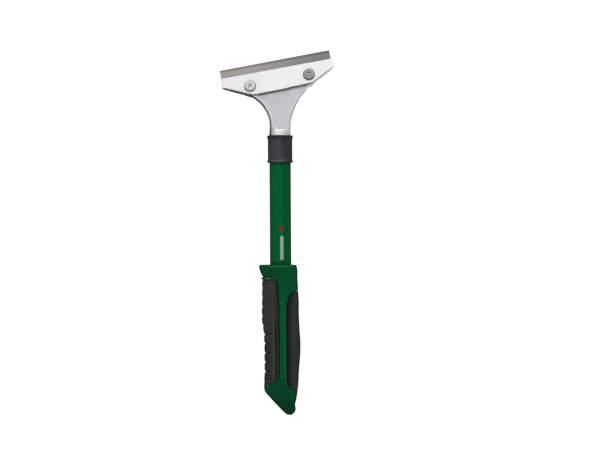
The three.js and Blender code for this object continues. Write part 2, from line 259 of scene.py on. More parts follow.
def triangulate(loops, free, outer_index=0, holes=()):
    """constrained triangulation: loops are closed chains, free are loose points; keeps the regions inside the outer loop and outside the holes"""
    coords, edges = [], []
    for lp in loops:
        s = len(coords)
        coords += [tuple(p) for p in lp]
        m = len(lp)
        edges += [(s + i, s + (i + 1) % m) for i in range(m)]
    if len(free):
        coords += [tuple(p) for p in free]
    cen = np.mean(np.asarray(coords, float), axis=0)
    res = delaunay_2d_cdt([Vector((c[0] - cen[0], c[1] - cen[1])) for c in coords], edges, [], 0, 1e-6)
    v = np.array([tuple(c) for c in res[0]], float) + cen
    for i, orig in enumerate(res[3]):
        if orig:
            v[i] = coords[orig[0]]
    f = np.array([tuple(t) for t in res[2]], int)
    fixed = {tuple(sorted(e)) for e, o in zip(res[1], res[4]) if o}
    # regions of triangles that are joined across edges of no loop
    owner = {}
    parent = list(range(len(f)))

    def find(a):
        while parent[a] != a:
            parent[a] = parent[parent[a]]
            a = parent[a]
        return a

    for i, t in enumerate(f):
        for a, b in ((t[0], t[1]), (t[1], t[2]), (t[2], t[0])):
            k = (int(min(a, b)), int(max(a, b)))
            if k in fixed:
                continue
            if k in owner:
                parent[find(i)] = find(owner[k])
            else:
                owner[k] = i
    a = v[f]
    area = (a[:, 1, 0] - a[:, 0, 0]) * (a[:, 2, 1] - a[:, 0, 1]) - (a[:, 2, 0] - a[:, 0, 0]) * (a[:, 1, 1] - a[:, 0, 1])
    mid = a.mean(axis=1)
    ok = inside(np.asarray(loops[outer_index]), mid)
    for h in holes:
        ok &= ~inside(np.asarray(loops[h]), mid)
    vote, size = {}, {}
    for i in range(len(f)):
        r = find(i)
        vote[r] = vote.get(r, 0.0) + abs(area[i]) * (1 if ok[i] else -1)
        size[r] = size.get(r, 0.0) + abs(area[i])
    keep = np.array([vote[find(i)] > 0 and size[find(i)] > 2e-3 for i in range(len(f))])
    # a sliver between collinear points belongs to the piece only if the piece lies on all its sides
    sides = {}
    for i, t in enumerate(f):
        for a_, b_ in ((t[0], t[1]), (t[1], t[2]), (t[2], t[0])):
            sides.setdefault((int(min(a_, b_)), int(max(a_, b_))), []).append(i)
    enclosed = {find(i): True for i in range(len(f)) if size[find(i)] <= 2e-3}
    for pair in sides.values():
        for i in pair:
            r = find(i)
            if r in enclosed and (len(pair) == 1 or not all(find(j) == r or (size[find(j)] > 2e-3 and vote[find(j)] > 0) for j in pair)):
                enclosed[r] = False
    for i in range(len(f)):
        if enclosed.get(find(i)):
            keep[i] = True
    # counter-clockwise faces
    f[area < 0] = f[area < 0][:, ::-1]
    return v, f[keep]


def boundary_edges(f):
    seen = {}
    for t in f:
        for a, b in ((t[0], t[1]), (t[1], t[2]), (t[2], t[0])):
            seen[(int(a), int(b))] = True
    return [e for e in seen if (e[1], e[0]) not in seen]


def slab(name, outline, holes, n0, n1, bevel, put, steps=3, inner=None, smooth_angle=35):
    """a flat piece with rounded edges: outline and holes are loops in its own plane; put(u, v, n) places it"""
    rings = [(bevel * (1 - math.sin(k / steps * math.pi / 2)), n0 + bevel * (1 - math.cos(k / steps * math.pi / 2))) for k in range(steps + 1)]
    # (inset, height) from the lower cap, up the side, to the upper cap
    low = [(bevel * (1 - math.sin(math.pi / 2 * k / steps)), n0 + bevel * (1 - math.cos(math.pi / 2 * k / steps))) for k in range(steps + 1)]
    high = [(i, n0 + n1 - h) for i, h in reversed(low)]
    rings = low + high
    outline = ccw(outline)
    loops = [outline] + [ccw(h) for h in holes]
    verts, faces = [], []
    for li, lp in enumerate(loops):
        start = len(verts)
        m = len(lp)
        for ins, h in rings:
            o = outset(lp, -ins if li == 0 else ins)
            verts += [put(p[0], p[1], h) for p in o]
        for k in range(len(rings) - 1):
            for i in range(m):
                a, b = start + k * m + i, start + k * m + (i + 1) % m
                q = (a, b, b + m, a + m)
                faces.append(q if li == 0 else q[::-1])
    for h, up in ((n0, False), (n1, True)):
        lps = [outset(lp, -bevel if i == 0 else bevel) for i, lp in enumerate(loops)]
        free = inner if inner is not None else []
        v, f = triangulate(lps, free, 0, range(1, len(lps)))
        s = len(verts)
        verts += [put(p[0], p[1], h) for p in v]
        faces += [tuple(s + t) if up else tuple(s + t[::-1]) for t in f]
    return make(name, verts, faces, smooth_angle)


# ------------------------------------------------------------------ material helpers
class Mat:
    def __init__(self, name, color=(0.5, 0.5, 0.5), rough=0.5, metal=0.0, spec=0.5):
        self.m = bpy.data.materials.new(name)
        self.m.use_nodes = True
        self.t = self.m.node_tree
        self.b = self.t.nodes["Principled BSDF"]
        self.b.inputs["Base Color"].default_value = (*color, 1)
        self.b.inputs["Roughness"].default_value = rough
        self.b.inputs["Metallic"].default_value = metal
        self.b.inputs["Specular IOR Level"].default_value = spec
        self.tc = self.t.nodes.new("ShaderNodeTexCoord")
        self.obj = self.tc.outputs["Object"]

    def node(self, kind, **props):
        n = self.t.nodes.new(kind)
        for k, v in props.items():
            setattr(n, k, v)
        return n

    def link(self, a, b):
        self.t.links.new(a, b)

    def mapped(self, scale, rot=(0, 0, 0)):
        n = self.node("ShaderNodeMapping")
        n.inputs["Scale"].default_value = scale
        n.inputs["Rotation"].default_value = rot
        self.link(self.obj, n.inputs["Vector"])
        return n.outputs["Vector"]

    def noise(self, scale, detail=4, rough=0.55, vector=None, distortion=0.0):
        n = self.node("ShaderNodeTexNoise")
        n.inputs["Scale"].default_value = scale
        n.inputs["Detail"].default_value = detail
        n.inputs["Roughness"].default_value = rough
        n.inputs["Distortion"].default_value = distortion
        self.link(vector if vector is not None else self.obj, n.inputs["Vector"])
        return n.outputs["Fac"]

    def ramp(self, fac, stops, interp="LINEAR"):
        n = self.node("ShaderNodeValToRGB")
        n.color_ramp.interpolation = interp
        e = n.color_ramp.elements
        while len(e) < len(stops):
            e.new(0.5)
        for i, (p, c) in enumerate(stops):
            e[i].position = p
            e[i].color = (*c, 1) if hasattr(c, "__len__") else (c, c, c, 1)
        self.link(fac, n.inputs["Fac"])
        return n.outputs["Color"]

    def math(self, op, a, b=None, c=None, clamp=False):
        n = self.node("ShaderNodeMath", operation=op, use_clamp=clamp)
        for i, v in enumerate((a, b, c)):
            if v is None:
                continue
            if isinstance(v, (int, float)):
                n.inputs[i].default_value = v
            else:
                self.link(v, n.inputs[i])
        return n.outputs[0]

    def mix(self, fac, a, b, blend="MIX"):
        n = self.node("ShaderNodeMix", data_type="RGBA", blend_type=blend)
        if isinstance(fac, (int, float)):
            n.inputs[0].default_value = fac
        else:
            self.link(fac, n.inputs[0])
        for i, v in ((6, a), (7, b)):
            if isinstance(v, tuple):
                n.inputs[i].default_value = (*v, 1) if len(v) == 3 else v
            else:
                self.link(v, n.inputs[i])
        return n.outputs[2]

    def xyz(self):
        n = self.node("ShaderNodeSeparateXYZ")
        self.link(self.obj, n.inputs[0])
        return n.outputs[0], n.outputs[1], n.outputs[2]

    def band(self, v, lo, hi, soft):
        """1 between lo and hi, falling to 0 over soft on each side"""
        a = self.node("ShaderNodeMapRange", interpolation_type="SMOOTHSTEP")
        self.link(v, a.inputs["Value"])
        a.inputs["From Min"].default_value, a.inputs["From Max"].default_value = lo - soft, lo + soft
        b = self.node("ShaderNodeMapRange", interpolation_type="SMOOTHSTEP")
        self.link(v, b.inputs["Value"])
        b.inputs["From Min"].default_value, b.inputs["From Max"].default_value = hi - soft, hi + soft
        return self.math("SUBTRACT", a.outputs[0], b.outputs[0], clamp=True)

    def step(self, v, lo, hi, to0=0.0, to1=1.0):
        a = self.node("ShaderNodeMapRange", interpolation_type="SMOOTHSTEP")
        self.link(v, a.inputs["Value"])
        a.inputs["From Min"].default_value, a.inputs["From Max"].default_value = lo, hi
        a.inputs["To Min"].default_value, a.inputs["To Max"].default_value = to0, to1
        return a.outputs[0]

    def bump(self, height, strength, dist, normal=None):
        n = self.node("ShaderNodeBump")
        n.inputs["Strength"].default_value = strength
        n.inputs["Distance"].default_value = dist
        self.link(height, n.inputs["Height"])
        if normal is not None:
            self.link(normal, n.inputs["Normal"])
        return n.outputs["Normal"]

    def set(self, name, v):
        if isinstance(v, (int, float)):
            self.b.inputs[name].default_value = v
        elif isinstance(v, tuple):
            self.b.inputs[name].default_value = (*v, 1)
        else:
            self.link(v, self.b.inputs[name])

    def upward(self):
        """how far a face looks up or down: 1 flat, 0 for an upright flank"""
        n = self.node("ShaderNodeSeparateXYZ")
        self.link(self.tc.outputs["Normal"], n.inputs[0])
        return self.math("ABSOLUTE", n.outputs[2])

    def matte_flanks(self, level, lo=0.3, hi=0.75):
        """upright flanks are left matt, so that they do not mirror the bench"""
        self.set("Specular IOR Level", self.step(self.upward(), lo, hi, 0.0, level))

    def pointiness(self):
        return self.node("ShaderNodeNewGeometry").outputs["Pointiness"]


def rough_range(m, fac, lo, hi):
    n = m.node("ShaderNodeMapRange")
    m.link(fac, n.inputs["Value"])
    n.inputs["From Min"].default_value, n.inputs["From Max"].default_value = 0.3, 0.7
    n.inputs["To Min"].default_value, n.inputs["To Max"].default_value = lo, hi
    return n.outputs[0]


def srgb(r, g, b):
    f = lambda c: (c / 255) / 12.92 if c / 255 <= 0.04045 else ((c / 255 + 0.055) / 1.055) ** 2.4
    return (f(r), f(g), f(b))


KTONE = 1.0


def tone(r, g, b):
    """a linear colour as it should read under the studio light"""
    return tuple(c * KTONE for c in srgb(r, g, b))


def row_x(x):
    return (x - ORIGIN[0]) * 0.001


def row_y(y):
    return (y - ORIGIN[1]) * 0.001


# ------------------------------------------------------------------ materials
def mat_cast():
    m = Mat("cast_aluminium", rough=0.55, metal=0.2, spec=0.35)
    g = m.noise(2200, 5, 0.6)
    big = m.noise(140, 3, 0.5)
    base = m.ramp(big, [(0.3, tone(168, 168, 171)), (0.7, tone(174, 174, 177))])
    fine = m.ramp(g, [(0.3, 0.93), (0.7, 1.0)])
    col = m.mix(1.0, base, fine, "MULTIPLY")
    # brighter arrises, partly wear and partly painted highlight, and painted shade in the hollows
    p = m.pointiness()
    worn = m.step(p, 0.503, 0.545)
    x, y, z = m.xyz()
    flat_low = m.math("MULTIPLY", m.band(x, row_x(-3.8), row_x(5.5), 0.0004), m.band(y, row_y(258.2), row_y(266.5), 0.0004))
    flat_high = m.math("MULTIPLY", m.band(x, row_x(-4.6), row_x(6.9), 0.0004), m.band(y, row_y(266.0), row_y(277.0), 0.0004))
    hidden = m.math("MULTIPLY", m.step(x, row_x(-25.0), row_x(-26.5)), m.step(y, row_y(284.0), row_y(286.0)))
    bare = m.math("SUBTRACT", 1.0, m.math("MAXIMUM", m.math("MAXIMUM", flat_low, flat_high), hidden))
    worn = m.math("MULTIPLY", worn, m.math("MULTIPLY", bare, m.step(m.upward(), 0.25, 0.5)))
    col = m.mix(m.math("MULTIPLY", worn, 0.85), col, tone(226, 226, 228))
    painted_hollow_shade = m.math("MULTIPLY", m.step(p, 0.49, 0.44), bare)
    col = m.mix(m.math("MULTIPLY", painted_hollow_shade, 0.45), col, tone(120, 120, 124))
    x, y, z = m.xyz()
    # painted light and shade across the round neck: brightest left of the middle, darker at both sides
    neck = m.band(y, row_y(250.0), row_y(255.6), 0.0004)
    painted_neck_light = m.ramp(m.step(x, row_x(-9), row_x(9)), [(0.0, tone(150, 150, 152)), (0.22, tone(234, 234, 236)), (0.5, tone(208, 208, 209)), (0.8, tone(202, 202, 203)), (1.0, tone(176, 176, 177))])
    col = m.mix(m.math("MULTIPLY", neck, 0.9), col, painted_neck_light)
    # painted shade on the steep flanks that face left, painted light on those that face right; the upper faces keep the
    # tumbled tone
    geo = m.node("ShaderNodeNewGeometry")
    tr = m.node("ShaderNodeVectorTransform", vector_type="NORMAL", convert_from="WORLD", convert_to="OBJECT")
    m.link(geo.outputs["Normal"], tr.inputs[0])
    sx = m.node("ShaderNodeSeparateXYZ")
    m.link(tr.outputs[0], sx.inputs[0])
    nz = m.math("ABSOLUTE", sx.outputs[2])
    # recess walls that look inwards carry painted light as bright as the rim, and no painted shade
    inward = m.step(m.math("MULTIPLY", sx.outputs[0], m.math("MULTIPLY", x, 200.0)), -0.1, -0.35)
    floor_wall = m.math("MULTIPLY", m.step(sx.outputs[1], 0.15, 0.4), m.step(y, row_y(262), row_y(258.5)))
    middle = m.step(m.math("ABSOLUTE", x), 0.0265, 0.0245)
    inner = m.math("MAXIMUM", m.math("MULTIPLY", m.math("MULTIPLY", inward, middle), m.step(y, row_y(299), row_y(295))), floor_wall)
    flank = m.math("MULTIPLY", m.step(nz, 0.72, 0.46), m.math("SUBTRACT", 1.0, inner))
    painted_wall_light = m.math("MULTIPLY", m.step(nz, 0.93, 0.8), inner)
    col = m.mix(m.math("MULTIPLY", painted_wall_light, 0.8), col, tone(214, 214, 215))
    # painted shade: strong for flanks facing left, weak for flanks facing right
    side = m.step(sx.outputs[0], -0.2, 0.6, 0.95, 0.06)
    # the painted shade is full only on the drafted shoulder, the upright flank below it gets less
    deep = m.math("MULTIPLY", m.step(nz, 0.3, 0.12), m.step(y, row_y(286.0), row_y(283.0)))
    side = m.math("MULTIPLY", side, m.math("SUBTRACT", 1.0, m.math("MULTIPLY", deep, 0.62)))
    col = m.mix(m.math("MULTIPLY", flank, side), col, tone(40, 40, 43))
    # painted light: right-facing flanks of the web and jaw are painted bright
    bright = m.math("MULTIPLY", m.math("MULTIPLY", flank, m.step(sx.outputs[0], 0.1, 0.5)), m.step(y, row_y(250.0), row_y(258.0)))
    col = m.mix(m.math("MULTIPLY", bright, 0.5), col, tone(232, 232, 234))
    m.set("Base Color", col)
    m.set("Roughness", rough_range(m, g, 0.48, 0.62))
    m.matte_flanks(0.35)
    h = m.math("ADD", m.math("MULTIPLY", g, 0.5), m.noise(700, 3))
    m.set("Normal", m.bump(h, 0.22, 0.00012))
    return m.m


def brushed(m, along, across, rot, detail=3):
    """fine lines along one direction"""
    v = m.mapped((along, across, across), rot)
    return m.noise(1.0, detail, 0.6, v)


def mat_plate():
    m = Mat("plated_steel", rough=0.5, metal=0.1, spec=0.2)
    lines = brushed(m, 60, 5200, (0, 0, -SKEW))
    cloud = m.noise(38, 3, 0.5)
    base = m.ramp(cloud, [(0.3, tone(207, 207, 205)), (0.7, tone(212, 212, 211))])
    col = m.mix(1.0, base, m.ramp(lines, [(0.25, 0.965), (0.75, 1.0)]), "MULTIPLY")
    # faint straw and rose tint left by the plating bath at one end
    x, y, z = m.xyz()
    end = m.step(x, row_x(-38), row_x(-53))
    col = m.mix(m.math("MULTIPLY", end, 0.5), col, tone(218, 209, 206))
    spots = m.ramp(m.noise(900, 2, 0.5), [(0.68, 1.0), (0.76, 0.9)])
    col = m.mix(0.5, col, m.mix(1.0, col, spots, "MULTIPLY"))
    # painted shade on the edge faces, darkest at the left end
    painted_edge_shade = m.ramp(m.step(x, row_x(-27), row_x(-17)), [(0.0, tone(46, 46, 47)), (1.0, tone(128, 128, 129))])
    col = m.mix(m.math("MULTIPLY", m.step(m.upward(), 0.82, 0.5), 0.9), col, painted_edge_shade)
    m.matte_flanks(0.2)
    m.set("Base Color", col)
    m.set("Roughness", rough_range(m, lines, 0.42, 0.56))
    m.set("Normal", m.bump(lines, 0.12, 0.00004))
    return m.m


def mat_blade():
    m = Mat("blade_steel", rough=0.42, metal=0.3, spec=0.3)
    lines = brushed(m, 5200, 70, (0, 0, -SKEW))
    cloud = m.noise(26, 3, 0.5)
    x, y, z = m.xyz()
    # painted light: the blade is painted lighter at its left end, darker towards its right end
    left = m.ramp(cloud, [(0.3, tone(110, 107, 104)), (0.7, tone(116, 113, 110))])
    right = m.ramp(cloud, [(0.3, tone(76, 77, 76)), (0.7, tone(82, 82, 80))])
    col = m.mix(m.step(x, row_x(-40), row_x(45)), left, right)
    # distance back from the cutting edge
    d = m.math("ADD", m.math("MULTIPLY", x, sa), m.math("MULTIPLY", y, -ca))
    d0 = row_x(TIP[0]) * sa - row_y(TIP[1]) * ca
    s = m.math("SUBTRACT", d, d0)
    ground = m.band(s, -0.001, 0.0022, 0.00012)
    col = m.mix(m.math("MULTIPLY", ground, 0.06), col, tone(76, 77, 76))
    col = m.mix(1.0, col, m.ramp(lines, [(0.25, 0.9), (0.75, 1.0)]), "MULTIPLY")
    oil = m.ramp(m.noise(60, 4, 0.6, distortion=0.6), [(0.55, 0.0), (0.7, 1.0)])
    col = m.mix(m.math("MULTIPLY", oil, 0.16), col, tone(72, 67, 60))
    m.set("Base Color", col)
    m.set("Roughness", rough_range(m, lines, 0.3, 0.46))
    m.set("Normal", m.bump(lines, 0.15, 0.00005))
    return m.m


def mat_screw(name, at, bright, ring, dark, painted_centre_highlight=None):
    m = Mat(name, rough=0.5, metal=0.1, spec=0.2)
    n1 = m.noise(1500, 4, 0.6)
    n2 = m.noise(420, 2, 0.5)
    # distance from the screw's axis
    c = row(on_seat(at[0], at[1], 6.0))
    ey = np.cross(NN, XH)
    v = m.node("ShaderNodeVectorMath", operation="SUBTRACT")
    m.link(m.obj, v.inputs[0])
    v.inputs[1].default_value = tuple(c)
    parts = []
    for axis in (XH, ey):
        d = m.node("ShaderNodeVectorMath", operation="DOT_PRODUCT")
        m.link(v.outputs[0], d.inputs[0])
        d.inputs[1].default_value = tuple(axis)
        parts.append(d.outputs["Value"])
    r = m.math("SQRT", m.math("ADD", m.math("MULTIPLY", parts[0], parts[0]), m.math("MULTIPLY", parts[1], parts[1])))
    col = m.ramp(n2, [(0.3, bright), (0.7, tuple(q * 0.9 for q in bright))])
    p = m.pointiness()
    # painted shade in the cross recess
    painted_hollow_shade = m.step(p, 0.49, 0.42)
    col = m.mix(painted_hollow_shade, col, dark)
    # painted shade: a dark ring round the rounded shoulder
    col = m.mix(m.math("MULTIPLY", m.step(r, 0.0040, 0.0047), 0.85), col, ring)
    # painted highlight at the middle of the recess
    if painted_centre_highlight is not None:
        col = m.mix(m.math("MULTIPLY", m.step(r, 0.0011, 0.0005), 0.85), col, painted_centre_highlight)
    m.matte_flanks(0.2)
    m.set("Base Color", col)
    m.set("Roughness", rough_range(m, n1, 0.4, 0.55))
    m.set("Normal", m.bump(n1, 0.15, 0.00003))
    return m.m


def mat_paint():
    m = Mat("green_enamel", rough=0.38, spec=0.12)
    peel = m.noise(900, 2, 0.5)
    cloud = m.noise(45, 3, 0.5)
    col = m.ramp(cloud, [(0.3, tone(0, 82, 38)), (0.7, tone(1, 88, 43))])
    x, y, z = m.xyz()
    top = m.step(z, 0.0145, 0.0155)
    # painted light and shade across the tube: brightest left of the crown, darker towards the right and at the sides
    across = m.ramp(m.step(x, row_x(-9.5), row_x(9.5)), [(0.0, tone(0, 74, 38)), (0.2, tone(3, 92, 46)), (0.45, tone(5, 92, 44)), (0.72, tone(0, 78, 40)), (1.0, tone(0, 70, 34))])
    col = m.mix(0.8, col, across)
    # generic printed mark: a short red tab with a plain pale bar under it, no lettering
    def tab(x0, x1, y0, y1, r):
        cx, cy = (row_x(x0) + row_x(x1)) / 2, (row_y(y0) + row_y(y1)) / 2
        hx, hy = (x1 - x0) / 2000 - r, (y1 - y0) / 2000 - r
        dx = m.math("MAXIMUM", m.math("SUBTRACT", m.math("ABSOLUTE", m.math("SUBTRACT", x, cx)), hx), 0.0)
        dy = m.math("MAXIMUM", m.math("SUBTRACT", m.math("ABSOLUTE", m.math("SUBTRACT", y, cy)), hy), 0.0)
        d = m.math("SQRT", m.math("ADD", m.math("MULTIPLY", dx, dx), m.math("MULTIPLY", dy, dy)))
        return m.math("MULTIPLY", m.step(d, r + 0.00008, r - 0.00008), top)
    wear = m.ramp(m.noise(1400, 3, 0.6), [(0.3, 0.72), (0.5, 1.0)])
    red = m.math("MULTIPLY", tab(-0.3, 2.7, 163.2, 168.9, 0.0013), wear)
    # slanted hatching, so that the bar reads as print and not as a sticker
    saw = m.math("SINE", m.math("ADD", m.math("MULTIPLY", y, 2 * math.pi / 0.0023), m.math("MULTIPLY", x, 1900.0)))
    hatch = m.step(saw, -0.9, 0.2, 0.35, 1.0)
    pale = m.math("MULTIPLY", m.math("MULTIPLY", tab(-0.25, 2.65, 138.6, 160.0, 0.0003), wear), hatch)
    col = m.mix(m.math("MULTIPLY", red, 0.85), col, tone(128, 26, 42))
    col = m.mix(m.math("MULTIPLY", pale, 0.72), col, tone(192, 206, 190))
    # painted shadow at both ends, beside the collar and the grip
    painted_end_shadow = m.math("ADD", m.step(y, row_y(222), row_y(226)), m.step(y, row_y(137.5), row_y(134.5)), clamp=True)
    col = m.mix(m.math("MULTIPLY", painted_end_shadow, 0.45), col, tone(4, 46, 24))
    specks = m.ramp(m.noise(2600, 2, 0.5), [(0.74, 0.0), (0.8, 1.0)])
    col = m.mix(m.math("MULTIPLY", specks, 0.25), col, tone(40, 120, 76))
    # painted shade on the steep sides
    col = m.mix(m.math("MULTIPLY", m.step(m.upward(), 0.5, 0.12), 0.55), col, tone(0, 30, 14))
    m.matte_flanks(0.06, 0.45, 0.9)
    m.set("Base Color", col)
    m.set("Roughness", rough_range(m, peel, 0.28, 0.38))
    m.set("Normal", m.bump(peel, 0.12, 0.00005))
    return m.m


def mat_moulding(name, dark, painted_ridge_highlight, rough, grain=2600, strength=0.25, worn_colour=None, zones=None, edge=0.6):
    m = Mat(name, rough=rough, spec=0.16)
    g = m.noise(grain, 3, 0.6)
    v = m.node("ShaderNodeTexVoronoi", feature="SMOOTH_F1")
    v.inputs["Scale"].default_value = grain * 0.6
    m.link(m.obj, v.inputs["Vector"])
    cloud = m.noise(60, 3, 0.5)
    col = m.ramp(cloud, [(0.3, dark), (0.7, painted_ridge_highlight)])
    p = m.pointiness()
    if worn_colour is not None:
        col = m.mix(m.math("MULTIPLY", m.step(p, 0.515, 0.58), 0.5), col, worn_colour)
    # painted shade in the hollows
    col = m.mix(m.math("MULTIPLY", m.step(p, 0.48, 0.4), 0.6), col, tuple(c * 0.3 for c in dark))
    if zones is not None:
        col = zones(m, col)
    # painted shade on the steep flanks
    col = m.mix(m.math("MULTIPLY", m.step(m.upward(), 0.55, 0.15), edge), col, tuple(c * 0.12 for c in dark))
    col = m.mix(1.0, col, m.ramp(g, [(0.3, 0.9), (0.7, 1.0)]), "MULTIPLY")
    m.matte_flanks(0.07, 0.45, 0.9)
    m.set("Base Color", col)
    m.set("Roughness", rough_range(m, g, rough - 0.06, rough + 0.08))
    h = m.math("ADD", m.math("MULTIPLY", g, 0.6), v.outputs["Distance"])
    m.set("Normal", m.bump(h, strength, 0.00006))
    return m.m


def off_seam(m, x, y, at, high, lean):
    """signed distance from one long seam of the grip, which leans over towards its upper end"""
    shift = m.math("MULTIPLY", m.step(y, row_y(high[0]), row_y(high[1])), lean * 0.001)
    return m.math("SUBTRACT", m.math("SUBTRACT", x, row_x(at)), shift)


def core_zones(m, col):
    x, y, z = m.xyz()
    top = m.step(z, 0.015, 0.017)
    # painted shade along the two long seams
    d1 = off_seam(m, x, y, -1.7, (95, 118), -1.3)
    s1 = m.math("MULTIPLY", m.step(d1, 0.0009, 0.0001), m.band(y, row_y(36), row_y(118), 0.002))
    d2 = off_seam(m, x, y, 5.3, (96, 110), 3.2)
    s2 = m.math("MULTIPLY", m.step(d2, -0.0007, -0.0001), m.band(y, row_y(30), row_y(108), 0.002))
    painted_seams_shade = m.math("MULTIPLY", m.math("ADD", s1, s2, clamp=True), top)
    # the strip is brighter, with a painted highlight along a rib towards the palm
    strip = m.math("MULTIPLY", m.band(x, row_x(-1.4), row_x(3.6), 0.0007), m.band(y, row_y(34), row_y(110), 0.004))
    col = m.mix(m.math("MULTIPLY", strip, 0.8), col, tone(0, 84, 48))
    painted_rib_highlight = m.math("MULTIPLY", m.band(x, row_x(3.5), row_x(4.5), 0.0003), m.band(y, row_y(32), row_y(97), 0.004))
    col = m.mix(m.math("MULTIPLY", painted_rib_highlight, 0.75), col, tone(36, 84, 62))
    col = m.mix(m.math("MULTIPLY", painted_seams_shade, 0.85), col, tone(2, 24, 13))
    # the butt darkens towards its tip
    col = m.mix(m.step(y, row_y(26), row_y(2), 0.0, 0.75), col, tone(0, 44, 22))
    # painted highlight round the rim of the flange, a painted glint on the lip, painted shade above the lip
    painted_flange_highlight = m.math("MULTIPLY", m.band(y, row_y(132.35), row_y(133.3), 0.0002), m.band(x, row_x(-12.0), row_x(8.6), 0.003))
    col = m.mix(m.math("MULTIPLY", painted_flange_highlight, 0.55), col, tone(40, 112, 72))
    glint = m.math("MULTIPLY", m.band(y, row_y(121.6), row_y(122.3), 0.00025), m.band(x, row_x(-13.4), row_x(-8.6), 0.0012))
    col = m.mix(m.math("MULTIPLY", glint, 0.6), col, tone(92, 130, 100))
    dim = m.math("MULTIPLY", m.band(y, row_y(123.0), row_y(124.4), 0.0004), m.band(x, row_x(-14.5), row_x(-7.5), 0.001))
    return m.mix(m.math("MULTIPLY", dim, 0.6), col, tone(0, 30, 14))


def front_zones(m, col):
    x, y, z = m.xyz()
    top = m.step(z, 0.015, 0.017)
    # the inner border is smoother and greener than the gripping face
    inner = m.math("MULTIPLY", m.step(x, row_x(-5.9), row_x(-4.9)), top)
    col = m.mix(m.math("MULTIPLY", inner, 0.85), col, tone(38, 46, 40))
    crease_y = m.band(y, row_y(33), row_y(86), 0.006)
    # painted highlight on the ridge beside the crease
    painted_ridge_highlight = m.math("MULTIPLY", m.band(x, row_x(-7.0), row_x(-6.1), 0.0003), crease_y)
    col = m.mix(m.math("MULTIPLY", painted_ridge_highlight, 0.7), col, tone(76, 76, 77))
    low = m.step(y, row_y(78), row_y(60))
    col = m.mix(m.math("MULTIPLY", m.math("MULTIPLY", low, m.step(x, row_x(-7.2), row_x(-8.2))), 0.6), col, tone(44, 44, 44))
    # painted shade in the crease
    painted_crease_shade = m.math("MULTIPLY", m.band(x, row_x(-5.45), row_x(-4.55), 0.0003), crease_y)
    col = m.mix(m.math("MULTIPLY", painted_crease_shade, 0.9), col, tone(12, 12, 15))
    d1 = off_seam(m, x, y, -1.8, (95, 118), -1.3)
    # painted shade in the seam
    painted_seam_shade = m.math("MULTIPLY", m.step(d1, -0.0012, -0.0002), top)
    col = m.mix(m.math("MULTIPLY", painted_seam_shade, 0.85), col, tone(6, 22, 13))
    # painted highlight on the moulded dash
    painted_dash_highlight = m.math("MULTIPLY", m.band(y, row_y(114.7), row_y(115.6), 0.0002), m.band(x, row_x(-12.2), row_x(-8.2), 0.0006))
    return m.mix(m.math("MULTIPLY", painted_dash_highlight, 0.5), col, tone(92, 90, 88))


def back_zones(m, col):
    x, y, z = m.xyz()
    top = m.step(z, 0.015, 0.017)
    d2 = off_seam(m, x, y, 5.3, (96, 110), 3.2)
    # painted shade along the pad's border by the seam
    side = m.math("MULTIPLY", m.step(d2, 0.0055, 0.0016), top)
    col = m.mix(m.math("MULTIPLY", side, 0.95), col, tone(22, 28, 24))
    # painted shade in the seam
    painted_seam_shade = m.math("MULTIPLY", m.step(d2, 0.0010, 0.0002), top)
    return m.mix(m.math("MULTIPLY", painted_seam_shade, 0.85), col, tone(5, 17, 10))


CAST = mat_cast()
PLATE_M = mat_plate()
BLADE_M = mat_blade()
# painted light and shade: one screw steel in a lighter copy for the left screw and a darker copy for the right
SCREW_L = mat_screw("screw_steel_painted_lit", SCREWS[0], tone(190, 190, 190), tone(126, 126, 127), tone(100, 100, 101))
SCREW_R = mat_screw("screw_steel_painted_shade", SCREWS[1], tone(138, 138, 138), tone(92, 92, 93), tone(26, 26, 27), tone(225, 225, 225))
PAINT = mat_paint()
CORE_M = mat_moulding("green_moulding", tone(0, 68, 36), tone(0, 74, 39), 0.42, 2400, 0.12, tone(20, 96, 56), core_zones, 0.7)
PAD_M = mat_moulding("grip_elastomer", tone(50, 50, 49), tone(56, 55, 54), 0.62, 2600, 0.3, tone(78, 77, 75), front_zones, 0.6)
PAD_B = mat_moulding("grip_elastomer_smooth", tone(42, 46, 43), tone(48, 51, 48), 0.6, 2600, 0.25, tone(70, 72, 69), back_zones, 0.6)


def collar_zones(m, col):
    x, y, z = m.xyz()
    top = m.step(z, 0.0165, 0.019)
    lit = m.math("MULTIPLY", m.band(x, row_x(-6.0), row_x(1.5), 0.0025), top)
    col = m.mix(m.math("MULTIPLY", lit, 0.8), col, tone(67, 67, 69))
    shade_right = m.math("MULTIPLY", m.step(x, row_x(2.5), row_x(6.5)), top)
    col = m.mix(m.math("MULTIPLY", shade_right, 0.7), col, tone(47, 47, 49))
    # painted shade on the upper flange, and a painted highlight along the lower one
    bow = m.math("MULTIPLY", m.math("MULTIPLY", x, x), 12.0)
    yy = m.math("SUBTRACT", y, bow)
    col = m.mix(m.math("MULTIPLY", m.step(yy, row_y(246.2), row_y(247.4)), 0.8), col, tone(34, 34, 36))
    painted_rim_highlight = m.math("MULTIPLY", m.band(yy, row_y(226.9), row_y(227.7), 0.00025), m.band(x, row_x(-6.5), row_x(4.0), 0.0025))
    return m.mix(m.math("MULTIPLY", painted_rim_highlight, 0.6), col, tone(96, 108, 98))


COLLAR_M = mat_moulding("black_moulding", tone(50, 50, 52), tone(56, 56, 58), 0.4, 2000, 0.12, tone(88, 88, 90), collar_zones, 0.6)


def finish_piece(ob, mat, body, slot_name, *nodes):
    me = ob.data
    co = np.empty(len(me.vertices) * 3, np.float32)
    me.vertices.foreach_get("co", co)
    co = np.clip(co.reshape(-1, 3), np.array(CAD_BOX[0]) + 2e-6, np.array(CAD_BOX[1]) - 2e-6)
    me.vertices.foreach_set("co", co.astype(np.float32).ravel())
    me.update()
    ob.data.materials.clear()
    ob.data.materials.append(mat)
    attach(ob, body)
    if nodes:
        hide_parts(*nodes)
    return ob


